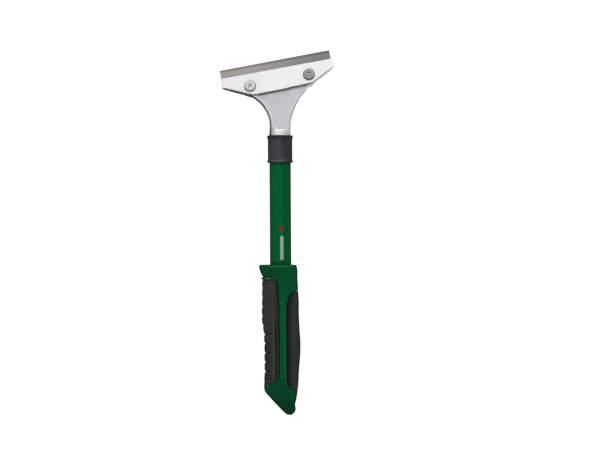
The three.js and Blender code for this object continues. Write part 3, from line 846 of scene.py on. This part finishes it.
# ------------------------------------------------------------------ head casting
# small corrections of the outline, read off the photographed contour: (x, y, dx, dy) in mm
BACK_EDGE = [(-52, 292, 0.0, 1.0), (-45, 290.5, 0.0, 0.85), (-38, 289, 0.0, 0.65), (-32, 287.8, 0.0, 0.25),
             (46.0, 308.6, -0.5, 0.7), (39.5, 304.4, -0.45, 0.65), (33.2, 300, -0.45, 0.65)]
PLATE_EDGE = BACK_EDGE + [(28.0, 296.2, -0.35, 0.9), (22, 295.0, 0.0, 0.8), (12, 293.2, 0.0, 0.5), (49, 312, 0.55, 0.2)]
WEB_EDGE = BACK_EDGE + [(-22.9, 283.5, -0.6, -0.8), (-16.6, 278.0, -0.23, -0.19), (-13.6, 273.2, -0.26, -0.15), (-11.2, 267.7, -0.52, -0.16),
                        (-9.9, 261.4, -0.25, 0.0), (-9.6, 255.2, -0.2, 0.0), (22.8, 291.7, 1.3, -1.3), (25.8, 293.6, -0.1, 0.1), (17.1, 285.5, 0.6, -0.42),
                        (14.8, 282.0, 0.8, -0.45), (12.4, 277.4, 0.85, -0.36), (11.2, 273.0, 0.26, -0.08),
                        (-4, 257.2, 0.0, -0.8), (1, 257.2, 0.0, -0.8), (6, 257.0, 0.0, -0.8)]


# the back flank of the jaw leans inwards below the plate
DRAFT = [(-51.8, 291.6, 0.1, 0.35), (-45, 289.8, 0.0, 0.25), (-38, 288, 0.0, 0.2), (48.4, 310.0, -0.4, 0.45), (44.0, 306.0, -0.25, 0.35), (37.0, 301.6, -0.25, 0.35), (31.5, 297.4, -0.3, 0.4)]


def warp(xy, table, reach=4.0):
    xy = np.asarray(xy, float)
    t = np.array(table, float)
    w = np.exp(-((xy[:, None, :] - t[None, :, :2]) ** 2).sum(axis=2) / (2 * reach * reach))
    return xy + (w[:, :, None] * t[None, :, 2:]).sum(axis=1) / np.maximum(w.sum(axis=1), 1.0)[:, None]


def cast_head():
    src = NODES["head_casting"]
    ob = bpy.data.objects.new("cast_head", src.data.copy())
    bpy.context.scene.collection.objects.link(ob)
    ob.data.materials.clear()
    rm = ob.modifiers.new("remesh", "REMESH")
    rm.mode = "VOXEL"
    rm.voxel_size = 0.00032
    rm.use_smooth_shade = True
    sm = ob.modifiers.new("smooth", "SMOOTH")
    sm.factor, sm.iterations = 0.5, 7
    bpy.context.view_layer.update()
    dg = bpy.context.evaluated_depsgraph_get()
    me = bpy.data.meshes.new_from_object(ob.evaluated_get(dg))
    ob.modifiers.clear()
    ob.data = me
    chamfer_web(me)
    me.shade_smooth()
    return ob


WEB_LEFT = np.array([(-9.05, 256.0), (-9.0, 258.0), (-8.95, 261.5), (-9.81, 266.42), (-11.58, 270.74), (-15.05, 276.05), (-17.9, 279.65), (-21.64, 283.17), (-27.6, 286.9), (-30.5, 287.9), (-34.0, 288.8)])


def chamfer_web(me):
    """steep as-cast draft along the left contour of the web, 1.7 mm wide on the upper face"""
    width, drop, reach = 1.75, 3.4, 6.5
    co = np.empty(len(me.vertices) * 3, np.float32)
    me.vertices.foreach_get("co", co)
    p = co.reshape(-1, 3).astype(float) * 1000 + ORIGIN
    near = np.where((p[:, 1] > 254) & (p[:, 1] < 290) & (p[:, 0] < 2))[0]
    best = np.full(len(near), 1e9)
    cut = np.zeros(len(near))
    q = p[near, :2]
    foot = np.zeros((len(near), 2))
    nrm = np.zeros((len(near), 2))
    for a, b in zip(WEB_LEFT[:-1], WEB_LEFT[1:]):
        ab = b - a
        l2 = ab @ ab
        t = np.clip(((q - a) @ ab) / l2, 0, 1)
        f = a + t[:, None] * ab
        d = np.linalg.norm(q - f, axis=1)
        m = d < best
        best[m] = d[m]
        foot[m] = f[m]
        n = np.array([ab[1], -ab[0]]) / math.sqrt(l2)
        nrm[m] = n
    signed = np.sum((q - foot) * nrm, axis=1)  # positive towards the inside of the web
    wide = 1.0 + (width - 1.0) * smooth(264.0, 280.0, p[near, 1])
    ok = (signed > -1.5) & (signed < wide) & (best < 2.5)
    fade = smooth(255.6, 258.5, p[near, 1]) * smooth(-33.5, -30.5, p[near, 0])
    bm = bmesh.new()
    bm.from_mesh(me)
    tree = BVHTree.FromBMesh(bm)
    bm.free()
    for k in np.where(ok & (fade > 0))[0]:
        inner = foot[k] + nrm[k] * (width + 0.4)
        o = (np.array([inner[0], inner[1], 60.0]) - ORIGIN) * 0.001
        hit = tree.ray_cast(Vector(o), Vector((0, 0, -1)))
        if hit[0] is None:
            continue
        ztop = hit[0].z * 1000
        i = near[k]
        c = drop * wide[k] / width * (1 - min(max(signed[k], 0.0), wide[k]) / wide[k]) * fade[k]
        p[i, 2] -= c * min(max((p[i, 2] - (ztop - reach)) / reach, 0.0), 1.0)
    p[:, :2] = warp(p[:, :2], WEB_EDGE)
    depth = np.clip((1.2 - (p - P0) @ NN) / 4.2, 0, 1)
    p[:, :2] += depth[:, None] * (warp(p[:, :2], DRAFT, 4.5) - p[:, :2])
    me.vertices.foreach_set("co", ((p - ORIGIN) * 0.001).astype(np.float32).ravel())
    me.update()


head = cast_head()
finish_piece(head, CAST, "handle", "cast_aluminium", "head_casting")

# ------------------------------------------------------------------ clamp plate
PLATE = [(-52.13, 301.18), (-51.95, 292.9), (-51.3, 292.15), (-28.53, 287.42), (-24.6, 286.9), (-21.0, 287.0),
         (-14.08, 288.5), (28.0, 296.2), (29.8, 296.9), (34.15, 300.2), (46.21, 309.08), (48.3, 310.9), (48.55, 311.9),
         (47.67, 313.46), (46.5, 318.9)]
PLATE_REF = 3.4


def circle(c, r, n):
    return np.array([(c[0] + r * math.cos(2 * math.pi * k / n), c[1] + r * math.sin(2 * math.pi * k / n)) for k in range(n)])


def clamp_plate():
    shape = warp(resample(np.array(PLATE), 3.0), PLATE_EDGE)
    base = np.array([(p[0] - PLATE_REF * NN[0], p[1] - PLATE_REF * NN[1]) for p in shape])
    o = rounded(ccw(base), 0.5, 4)
    o = resample(o, 2.0)
    holes = [circle(s, 2.8, 40) for s in SCREWS]
    free = []
    for X in np.arange(-55, 52, 3.0):
        for Y in np.arange(284, 322, 3.0):
            free.append((X, Y))
    free = np.array(free)
    keep = inside(o, free) & (distance(o, free) > 1.0)
    for s in SCREWS:
        keep &= np.hypot(free[:, 0] - s[0], free[:, 1] - s[1]) > 3.8
    return slab("clamp_bar", o, holes, 1.4, 3.4, 0.28, lambda u, v, n: on_seat(u, v, n), 3, free[keep])


plate = clamp_plate()
finish_piece(plate, PLATE_M, "clamp", "plated_steel", "clamp_plate")


# ------------------------------------------------------------------ blade
def blade_piece():
    L, Wd, T, BV = 100.0, 20.0, 0.8, 2.4
    st = []
    # plan (X, s) loop, counter-clockwise, with fine steps along the cutting edge
    edge = [(X, 0.0) for X in np.linspace(0, L, 201)]
    right = [(L, s) for s in (0.6, 1.2, 1.8, BV, 4, 6, 8, 12, 16, 19.8)]
    # half-round notches in the back edge clear the clamp screws
    back = []
    centres = []
    for sc in SCREWS:
        d = on_seat(sc[0], sc[1], 0.7) - P0
        centres.append((float(d @ XH), float(-(d @ HH))))
    shape = warp(resample(np.array(PLATE), 3.0), PLATE_EDGE)
    rel = shape - PLATE_REF * NN[:2] - P0[:2]
    px, ps = rel[:, 0] * ca + rel[:, 1] * sa, (rel[:, 0] * sa - rel[:, 1] * ca) / cb
    low = sorted((float(a), float(b)) for a, b in zip(px, ps) if b > 11.5)

    def limit(x):
        return min(Wd, float(np.interp(x, [q[0] for q in low], [q[1] for q in low])) - 0.9)

    right = [q for q in right if q[1] < limit(L) - 0.3]
    X = L - 0.2
    for cx, cs in sorted(centres, reverse=True):
        hw = math.sqrt(max(9.0 - (cs - Wd) ** 2, 0.0))
        back += [(x, limit(x)) for x in np.arange(X, cx + hw + 0.3, -1.2)]
        a0 = math.atan2(Wd - cs, hw)
        for k in range(17):
            a = a0 + (-math.pi - 2 * a0) * k / 16
            back.append((cx + 3.0 * math.cos(a), cs + 3.0 * math.sin(a)))
        X = cx - hw - 1.2
    back += [(x, limit(x)) for x in np.arange(X, 0.2, -1.2)]
    left = [(0.0, s) for s in (19.8, 16, 12, 8, 6, 4, BV, 1.8, 1.2, 0.6) if s < limit(0.0) - 0.3]
    loop = np.array(edge + right + back + left)
    rows = [np.array([(X, s) for X in np.linspace(2, L - 2, 97)]) for s in (0.8, 1.6, BV - 0.12, BV, BV + 0.12, 5, 8, 11, 14, 17)]
    free = np.vstack(rows)
    keep = inside(loop, free) & (distance(loop, free) > 0.5)
    v, f = triangulate([loop], free[keep], 0, ())

    def half(s):
        return 0.012 + (T / 2 - 0.012) * np.clip(s / BV, 0, 1)

    def nick(X, s):
        # small dings in the cutting edge
        a = noise.noise(Vector((X * 0.9, 3.1, 0.2))) + 0.6 * noise.noise(Vector((X * 2.7, 8.4, 1.7)))
        return s + (0.05 * max(a, 0.0) if s < 0.3 else 0.0)

    verts, faces = [], []
    for X, s in v:
        verts.append(hp(X, nick(X, s), 0.7 + half(s)))
    n = len(v)
    for X, s in v:
        verts.append(hp(X, nick(X, s), 0.7 - half(s)))
    # loop direction in (X, s) is mirrored in space, so the faces are turned by recalculation
    for t in f:
        faces.append(tuple(t))
        faces.append(tuple(n + t[::-1]))
    for a, b in boundary_edges(f):
        faces.append((a, n + a, n + b, b))
    return make("razor_blade", verts, faces, 25)


blade = blade_piece()
finish_piece(blade, BLADE_M, "blade", "blade_steel", "blade")


# ------------------------------------------------------------------ screws
def screw(name, at, turn, worn):
    base = 3.7
    R, H = 5.2, 2.3
    seg, rad = ((144, 56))
    ex = XH
    ey = np.cross(NN, XH)
    origin = on_seat(at[0], at[1], 0)

    def put(x, y, n):
        return origin + x * ex + y * ey + n * NN

    def dome(r):
        # low pan head with a rounded shoulder
        q = min(r / R, 1.0)
        return base + H - 0.42 * q ** 2 - (0.0 if r < R - 1.1 else 1.05 * (1 - math.sqrt(max(0.0, 1 - ((r - (R - 1.1)) / 1.1) ** 2))))

    def recess(x, y):
        c, s = math.cos(turn), math.sin(turn)
        u, w = c * x + s * y, -s * x + c * y
        best = -9.0
        for a, b in ((u, w), (w, u)):
            # tapered wings
            half = 0.62 - 0.07 * abs(a)
            d = min(half - abs(b), 2.45 - abs(a))
            best = max(best, d)
        hub = 1.05 - math.hypot(x, y)
        best = max(best, hub)
        depth = np.clip((best + 0.10) / 0.42, 0, 1)
        depth = depth * depth * (3 - 2 * depth)
        deep = 1.0 + 0.55 * max(0.0, 1 - math.hypot(x, y) / 2.2)
        rim = 0.05 * math.exp(-((best + 0.12) / 0.12) ** 2) * worn
        return 1.05 * depth * deep - rim

    verts, faces = [], []
    rs = np.concatenate([np.linspace(0, 3.0, rad)[1:], np.linspace(3.0, R - 0.02, 22)[1:], [R]])
    verts.append(put(0, 0, dome(0) - recess(0, 0)))
    for r in rs:
        for k in range(seg):
            t = 2 * math.pi * k / seg
            x, y = r * math.cos(t), r * math.sin(t)
            n = dome(r) - (recess(x, y) if r < 3.0 else 0)
            verts.append(put(x, y, n))
    top = len(rs)
    side = [(R, base + 0.75), (R, base + 0.25), (R - 0.06, base + 0.08), (R - 0.22, base), (2.9, base), (2.5, base), (2.5, -2.0), (2.5, -4.3), (2.0, -4.9)]
    for r, n in side:
        for k in range(seg):
            t = 2 * math.pi * k / seg
            verts.append(put(r * math.cos(t), r * math.sin(t), n))
    rings = top + len(side)
    last = len(verts)
    verts.append(put(0, 0, -4.9))
    for k in range(seg):
        faces.append((0, 1 + k, 1 + (k + 1) % seg))
    for i in range(rings - 1):
        for k in range(seg):
            a, b = 1 + i * seg + k, 1 + i * seg + (k + 1) % seg
            faces.append((a, a + seg, b + seg, b))
    s0 = 1 + (rings - 1) * seg
    for k in range(seg):
        faces.append((last, s0 + (k + 1) % seg, s0 + k))
    return make(name, verts, faces, 50)


sl = screw("pan_screw_left", SCREWS[0], math.radians(45) + SKEW * 0, 1.0)
finish_piece(sl, SCREW_L, "screw_left", "screw_steel", "screw_left")
sr = screw("pan_screw_right", SCREWS[1], math.radians(28), 1.4)
finish_piece(sr, SCREW_R, "screw_right", "screw_steel", "screw_right")

# ------------------------------------------------------------------ tube and collar
along_y = lambda x, h, z: (x, h, AXIS_Z + z)


def tube_piece():
    ys = list(np.linspace(46.5, 237.5, 60))
    prof = [(9.5, y) for y in ys]
    prof = [(8.3, 46.2), (8.5, 46.0), (9.2, 46.0), (9.42, 46.12)] + prof + [(9.42, 237.88), (9.2, 238.0), (8.5, 238.0), (8.3, 237.8)]
    prof += [(8.3, y) for y in np.linspace(230, 54, 12)]
    return lathe("painted_tube", prof, 96, along_y, 40)


tube = tube_piece()
finish_piece(tube, PAINT, "handle", "green_paint", "tube")


def collar_piece():
    y0, y1, R, B = 225.4, 249.9, 10.95, 11.5
    o = [(9.8, y0 + 0.2), (10.0, y0), (10.6, y0)]
    o += arc(10.6, y0 + 0.9, 0.9, -90, 0, 6)[1:]
    o += [(B - 0.0, y0 + 1.3)] + arc(B - 0.5, y0 + 1.5, 0.5, 0, 60, 4)[1:]
    o += [(R + 0.12, y0 + 2.35), (R + 0.02, y0 + 2.6), (R, y0 + 2.9)]
    o += [(R - 0.02, y) for y in np.linspace(y0 + 4, y1 - 4.6, 12)]
    o += [(R, y1 - 3.6), (R + 0.04, y1 - 3.3), (R + 0.18, y1 - 3.05)]
    o += arc(B - 0.55, y1 - 2.55, 0.55, -40, 0, 4)[1:]
    o += [(B, y1 - 1.4)] + arc(B - 1.2, y1 - 1.2, 1.2, 0, 90, 8)[1:]
    o += [(10.0, y1), (9.8, y1 - 0.2)]
    o += [(9.8, y) for y in np.linspace(y1 - 2, y0 + 2, 8)]
    return lathe("neck_collar", o, 96, along_y, 40)


collar = collar_piece()
finish_piece(collar, COLLAR_M, "handle", "black_plastic", "collar")

# ------------------------------------------------------------------ grip
GRIP_L = [(0, 6.4), (0.25, 5.2), (0.9, 4.0), (2, 2.75), (5, -0.25), (8.72, -3.85), (14.93, -9.55), (19.5, -13.55), (21.6, -14.95), (24, -15.4), (29, -15.35), (39, -14.9), (56, -14.9), (72, -15.3), (77, -15.9),
          (82, -16.8), (89, -17.1), (103, -16.8), (118.7, -16.7), (121.4, -16.2), (123.0, -15.9), (125, -16.9), (129.5, -18.8), (132, -19.4), (134.3, -19.4)]
GRIP_R = [(0, 8.2), (0.25, 9.3), (0.9, 10.4), (2, 11.5), (3.4, 12.4), (4.9, 12.75), (6.6, 12.65), (8.9, 12.2), (11.5, 12.8), (16.3, 13.8), (24, 14.95), (31.6, 15.55), (39.6, 15.95), (47.2, 16.6), (55, 17.2), (65, 17.35), (74, 16.8),
          (84, 16.3), (94, 16.0), (99, 16.2), (107, 15.75), (114, 15.4), (122, 15.0), (128, 15.0), (132.5, 14.5), (134.3, 14.2)]
GRIP_H = [(0, 3.4), (0.25, 4.9), (0.9, 6.8), (2, 8.6), (5, 10.6), (8.6, 11.8), (15, 12.7), (24, 13.1), (40, 13.4), (60, 13.5), (90, 13.3), (110, 12.9), (122, 12.6), (130, 12.8), (134.3, 12.8)]
GRIP_TOP = 134.3
PEXP = 2.45
fL, fR, fH = pchip(GRIP_L), pchip(GRIP_R), pchip(GRIP_H)
EDGE_IN = 0.02  # the moulded surface lies this far inside the solid's, so that nothing leaves its box


def grip_point(phi, y, off=0.0):
    l, r, h = fL(y), fR(y), fH(y)
    w, xc = (r - l) / 2, (r + l) / 2
    c, s = np.cos(phi), np.sin(phi)
    rho = (np.abs(c / w) ** PEXP + np.abs(s / h) ** PEXP) ** (-1 / PEXP)
    return np.stack([xc + rho * c, y, AXIS_Z + rho * s], -1)


def grip_surface(phi, y, off):
    """points off along the outward normal"""
    phi, y = np.asarray(phi, float), np.asarray(y, float)
    p = grip_point(phi, y)
    e = 1e-3
    dp = grip_point(phi + e, y) - grip_point(phi - e, y)
    ya, yb = np.clip(y - 0.05, 0, GRIP_TOP), np.clip(y + 0.05, 0, GRIP_TOP)
    dy = grip_point(phi, yb) - grip_point(phi, ya)
    n = np.cross(dy, dp)
    n /= np.maximum(np.linalg.norm(n, axis=1), 1e-12)[:, None]
    # a normal that points out of the grip
    xc = (fL(y) + fR(y)) / 2
    outw = np.stack([p[:, 0] - xc, np.zeros(len(y)), p[:, 2] - AXIS_Z], 1)
    n *= np.where(np.sum(n * outw, axis=1) < 0, -1, 1)[:, None]
    return p + np.asarray(off)[:, None] * n


KU = 15.0  # mm of the flattened map per radian round the grip


def phi_of(x, y):
    """angle of the upper surface point over a plan point"""
    l, r, h = fL(y), fR(y), fH(y)
    w, xc = (r - l) / 2, (r + l) / 2
    q = np.clip((x - xc) / w, -1, 1)
    z = h * (1 - np.abs(q) ** PEXP) ** (1 / PEXP)
    return math.atan2(z, x - xc)


PAD_FRONT = [(-9.2, 120.5), (-4.9, 120.2), (-3.5, 119.3), (-2.91, 117.14), (-2.0, 102.5), (-1.66, 66.6), (-1.82, 37.2), (-4.40, 31.85), (-6.70, 29.02), (-9.69, 27.66), (-12.20, 28.23), (-14.25, 30.30)]
PAD_BACK = [(14.10, 110.82), (12.04, 110.28), (9.51, 108.55), (7.44, 106.05), (6.41, 101.25), (5.35, 96.5), (5.25, 66.6), (5.33, 32.6), (5.87, 28.13), (7.46, 24.92), (10.19, 23.07), (13.85, 22.37)]


def smooth_chain(pts, rounds=3):
    """corner cutting that keeps the ends"""
    p = np.asarray(pts, float)
    for _ in range(rounds):
        q = [p[0]]
        for a, b in zip(p[:-1], p[1:]):
            q += [a * 0.75 + b * 0.25, a * 0.25 + b * 0.75]
        q.append(p[-1])
        p = np.array(q)
    return p


def pad_loop(chain, side):
    """closed outline of a pad in the flattened map; side is pi for the finger side, 0 for the palm side"""
    c = resample(smooth_chain(chain, 3), 0.6, closed=False)
    up = np.array([(KU * phi_of(x, y), y) for x, y in c])
    mid = KU * math.pi if side else 0.0
    # carry the outline across the flank and back along the underside
    low = np.array([(2 * mid - u, y) for u, y in up])[::-1]
    loop = np.vstack([up, low])
    # resample the joined loop at 0.8 mm steps
    loop = resample(loop, 0.8)
    return ccw(loop)


LOOP_F = pad_loop(PAD_FRONT, 1)
LOOP_B = pad_loop(PAD_BACK, 0)


def grid_free(u0, u1, y0, y1, du, dy):
    out = []
    k = 0
    y = y0
    while y <= y1:
        sh = (k % 2) * du / 2
        u = u0 + sh
        while u <= u1:
            out.append((u, y))
            u += du
        y += dy
        k += 1
    return np.array(out)


RIDGES = [38.9, 47.2, 55.5, 63.8, 72.0, 80.3, 88.6, 96.9, 105.1, 113.4]


def front_relief(u, y):
    """finger side: cross grooves that fade towards the top face, and a long crease"""
    phi = u / KU
    # distance round from the middle of the finger flank
    a = np.abs(phi - math.pi)
    fade = smooth(1.12, 0.66, a)
    g = np.zeros_like(y)
    for i, c in enumerate(RIDGES):
        strength = 1.05 if c < 78 else 0.62 if c < 90 else 0.4
        t = (y - c) / (0.8 if c < 78 else 1.0)
        g -= strength * np.exp(-t * t) * fade
        # low crown between the grooves
    crown = 0.05 * fade * np.cos((y - RIDGES[0]) / 8.28 * 2 * math.pi + math.pi)
    g += crown * smooth(30, 36, y) * smooth(120, 114, y)
    # crease along the top face, x about -5.2 there
    p = grip_point(phi, y)
    along = smooth(30, 38, y) * smooth(86, 74, y)
    topside = np.abs(p[:, 0] + 5.4)
    g -= 0.45 * np.exp(-((p[:, 0] + 5.0) / 0.42) ** 2) * along
    g += 0.12 * np.exp(-((p[:, 0] + 6.5) / 0.6) ** 2) * along
    # broad step between the finger side and the inner edge of the pad, higher up
    g -= 0.16 * smooth(-6.4, -5.0, p[:, 0]) * smooth(74, 86, y) * smooth(118, 112, y)
    # small moulded dash near the upper end
    g += 0.22 * np.exp(-((y - 115.2) / 0.5) ** 4) * np.exp(-((p[:, 0] + 9.6) / 2.3) ** 4)
    return g


def back_relief(u, y):
    phi = u / KU
    p = grip_point(phi, y)
    # soft flat along the seam
    return -0.10 * np.exp(-((p[:, 0] - 6.6) / 1.2) ** 2)


def pad_piece(name, loop, relief, thick=2.4, r=0.55):
    step = 0.62
    inset = [outset(loop, -d) for d in (0.12, 0.3, 0.6)]
    loops = [loop] + inset
    u0, u1 = loop[:, 0].min(), loop[:, 0].max()
    y0, y1 = loop[:, 1].min(), loop[:, 1].max()
    free = grid_free(u0, u1, y0, y1, step, step * 0.87)
    keep = inside(inset[-1], free) & (distance(loop, free) > 0.6 + step * 0.5)
    v, f = triangulate(loops, free[keep], 0, ())
    d = distance(loop, v)
    d = np.where(d < 1e-3, 0.0, d)
    q = np.clip(d, 0, r)
    rnd = -(r - np.sqrt(np.maximum(r * r - (r - q) ** 2, 0.0)))
    fadein = smooth(0.2, 1.6, d)
    off = rnd + relief(v[:, 0], v[:, 1]) * fadein - EDGE_IN
    outer = grip_surface(v[:, 0] / KU, v[:, 1], off)
    inner = grip_surface(v[:, 0] / KU, v[:, 1], np.full(len(v), -thick))
    n = len(v)
    faces = [tuple(t) for t in f] + [tuple(n + t[::-1]) for t in f]
    for a, b in boundary_edges(f):
        faces.append((a, n + a, n + b, b))
    return make(name, np.vstack([outer, inner]), faces, 60)


pad_f = pad_piece("finger_pad", LOOP_F, front_relief)
finish_piece(pad_f, PAD_M, "handle", "grip_rubber", "grip_pad_front")
pad_b = pad_piece("palm_pad", LOOP_B, back_relief)
finish_piece(pad_b, PAD_B, "handle", "grip_rubber", "grip_pad_back")


def core_relief(u, y):
    phi = u / KU
    p = grip_point(phi, y)
    g = np.zeros_like(y)
    # shallow rib along the strip's palm edge
    strip = smooth(34, 44, y) * smooth(108, 96, y)
    g += 0.16 * np.exp(-((p[:, 0] - 4.1) / 0.45) ** 2) * strip
    return g


def core_piece():
    U0, U1 = -KU * math.pi / 2, KU * 3 * math.pi / 2
    step = 0.75
    nu = 192
    us = np.linspace(U0, U1, nu + 1)
    lip = 1.3
    ys = np.concatenate([[0, 0.12, 0.3, 0.55, 0.85, 1.2, 1.7, 2.3, 3.0, 3.9], np.arange(4.8, GRIP_TOP - lip - 0.9, 0.9), GRIP_TOP - lip + lip * np.array([0, 0.2, 0.4, 0.58, 0.74, 0.87, 0.96, 1.0])])
    left = [(U0, y) for y in ys]
    right = [(U1, y) for y in ys]
    outer = [(u, ys[0]) for u in us] + right[1:-1] + [(u, ys[-1]) for u in us[::-1]] + left[1:-1][::-1]
    outer = np.array(outer)
    loops = [outer]
    # beds for the two pads
    for lp in (LOOP_F, LOOP_B):
        for d in (-0.1, 0.1, 0.3, 0.42, 0.6, 0.9):
            loops.append(outset(lp, d))
    free = []
    for y in ys[1:10]:
        free += [(u, y) for u in us[1:-1]]
    for y in ys[-8:-1]:
        free += [(u, y) for u in us[1:-1]]
    main = grid_free(U0 + step, U1 - step * 0.5, ys[10], ys[-8] - 0.5, step, step * 0.87)
    near = np.minimum(distance(LOOP_F, main), distance(LOOP_B, main))
    main = main[near > 1.1]
    main = main[(main[:, 0] < U1 - step * 0.6)]
    free = np.vstack([np.array(free), main])
    v, f = triangulate(loops, free, 0, ())
    inF, inB = inside(LOOP_F, v), inside(LOOP_B, v)
    dF, dB = distance(LOOP_F, v), distance(LOOP_B, v)
    sd = np.where(inF, dF, np.where(inB, dB, -np.minimum(dF, dB)))  # positive inside a bed
    r = 0.55
    q = np.clip(-sd - 0.3, 0, r)
    rnd = -(r - np.sqrt(np.maximum(r * r - (r - q) ** 2, 0.0)))
    bed = sd > -0.15
    off = np.where(bed, -2.75, rnd)
    off = off + np.where(bed, 0.0, core_relief(v[:, 0], v[:, 1]) * smooth(0.3, 1.0, -sd)) - EDGE_IN
    # rounded rim of the flange
    t = np.clip((v[:, 1] - (GRIP_TOP - lip)) / lip, 0, 1)
    off -= lip * (1 - np.sqrt(np.maximum(1 - t * t, 0.0))) * np.where(v[:, 1] > GRIP_TOP - lip, 1, 0)
    # small moulded lip over the finger side
    ph = v[:, 0] / KU
    a = np.abs(ph - math.pi)
    liprow = np.exp(-((v[:, 1] - 121.85) / 0.8) ** 2) * (1.6 * smooth(1.15, 0.7, a) + 0.3 * smooth(1.5, 1.25, a))
    off += np.where(bed, 0, liprow)
    pts = grip_surface(ph, v[:, 1], off)
    verts = [tuple(p) for p in pts]
    faces = [tuple(t) for t in f]
    # ring of vertices round the top and the butt, in order of u
    top = sorted([i for i in range(len(v)) if abs(v[i, 1] - ys[-1]) < 1e-3], key=lambda i: v[i, 0])[:-1]
    butt = sorted([i for i in range(len(v)) if abs(v[i, 1] - ys[0]) < 1e-3], key=lambda i: v[i, 0])[:-1]

    def ring(prev, pts_new):
        s = len(verts)
        verts.extend([tuple(p) for p in pts_new])
        m = len(prev)
        new = list(range(s, s + m))
        for i in range(m):
            j = (i + 1) % m
            faces.append((prev[i], prev[j], new[j], new[i]))
        return new

    m = len(top)
    P = np.array([verts[i] for i in top])
    ang = np.arctan2(P[:, 2] - AXIS_Z, P[:, 0])
    bore = np.stack([9.8 * np.cos(ang), np.full(m, GRIP_TOP), AXIS_Z + 9.8 * np.sin(ang)], 1)
    prev = top
    for k in (0.25, 0.5, 0.75, 0.9):
        prev = ring(prev, P * (1 - k) + bore * k)
    prev = ring(prev, bore + np.array([0, -0.25, 0]))
    for y in (130.0, 110.0, 90.0, 70.0, 50.0, 45.7):
        b = bore.copy()
        b[:, 1] = y
        prev = ring(prev, b)
    c = len(verts)
    verts.append((0, 45.7, AXIS_Z))
    for i in range(m):
        faces.append((prev[i], prev[(i + 1) % m], c))
    B = np.array([verts[i] for i in butt])
    cen = B.mean(axis=0)
    prev = butt
    for k in (0.25, 0.5, 0.75):
        q = B * (1 - k) + cen * k
        prev = ring(prev, q)
    c = len(verts)
    verts.append(tuple(cen))
    for i in range(m if len(prev) == m else len(prev)):
        faces.append((prev[i], prev[(i + 1) % len(prev)], c))
    return make("grip_core", verts, faces, 60)


core = core_piece()
finish_piece(core, CORE_M, "handle", "green_plastic", "handle_core")

# the spring pin stays as its CAD node, inside the neck
pin = NODES["neck_pin"]
pin.data.materials.clear()
pin.data.materials.append(BLADE_M)

# ------------------------------------------------------------------ floor, light, camera
def floor():
    n, size = 40, 2.4
    verts, faces = [], []
    for j in range(n + 1):
        for i in range(n + 1):
            verts.append(((i / n - 0.5) * size, (j / n - 0.5) * size, 0.0))
    for j in range(n):
        for i in range(n):
            a = j * (n + 1) + i
            faces.append((a, a + 1, a + n + 2, a + n + 1))
    me = bpy.data.meshes.new("floor")
    me.from_pydata(verts, [], faces)
    ob = bpy.data.objects.new("floor", me)
    bpy.context.scene.collection.objects.link(ob)
    ob.location.z = -0.0004
    m = Mat("floor_white", (0.32, 0.32, 0.32), 0.9, 0.0, 0.05)
    f = m.noise(30, 3)
    m.set("Base Color", m.ramp(f, [(0.3, (0.315, 0.315, 0.315)), (0.7, (0.325, 0.325, 0.325))]))
    m.set("Emission Color", (1.0, 1.0, 1.0))
    m.set("Emission Strength", 0.88)
    me.materials.append(m.m)
    return ob


floor()


def area(name, loc, target, size, power, colour=(1, 1, 1)):
    d = bpy.data.lights.new(name, "AREA")
    d.shape = "RECTANGLE"
    d.size, d.size_y = size
    d.energy = power
    d.color = colour
    o = bpy.data.objects.new(name, d)
    bpy.context.scene.collection.objects.link(o)
    o.location = loc
    o.rotation_euler = (Vector(target) - Vector(loc)).to_track_quat("-Z", "Y").to_euler()
    return o


area("key", (0.1, 0.9, 1.1), (0, 0.02, 0), (1.1, 0.75), 17)
area("fill", (-0.15, -1.0, 1.2), (0, 0, 0), (1.1, 0.8), 5)

world = bpy.data.worlds.new("studio")
world.use_nodes = True
wt = world.node_tree
bg = wt.nodes["Background"]
tc = wt.nodes.new("ShaderNodeTexCoord")
sep = wt.nodes.new("ShaderNodeSeparateXYZ")
wt.links.new(tc.outputs["Generated"], sep.inputs[0])
rp = wt.nodes.new("ShaderNodeValToRGB")
e = rp.color_ramp.elements
e[0].position, e[0].color = 0.0, (1.0, 1.0, 1.0, 1)
e[1].position, e[1].color = 1.0, (0.16, 0.16, 0.16, 1)
mid = e.new(0.35)
mid.color = (0.7, 0.7, 0.7, 1)
mid2 = e.new(0.62)
mid2.color = (0.22, 0.22, 0.22, 1)
wt.links.new(sep.outputs[2], rp.inputs["Fac"])
wt.links.new(rp.outputs["Color"], bg.inputs["Color"])
bg.inputs["Strength"].default_value = 0.8
bpy.context.scene.world = world

cam_data = bpy.data.cameras.new("camera")
cam_data.lens = 250.7
cam_data.sensor_width = 36
cam_data.clip_end = 20
cam = bpy.data.objects.new("camera", cam_data)
bpy.context.scene.collection.objects.link(cam)
cam.location = (0.02012, 0.00644, 3.7505)
cam.rotation_euler = (0, 0, math.radians(-0.31))
bpy.context.scene.camera = cam
bpy.context.scene.view_settings.view_transform = "Standard"

bpy.context.view_layer.update()
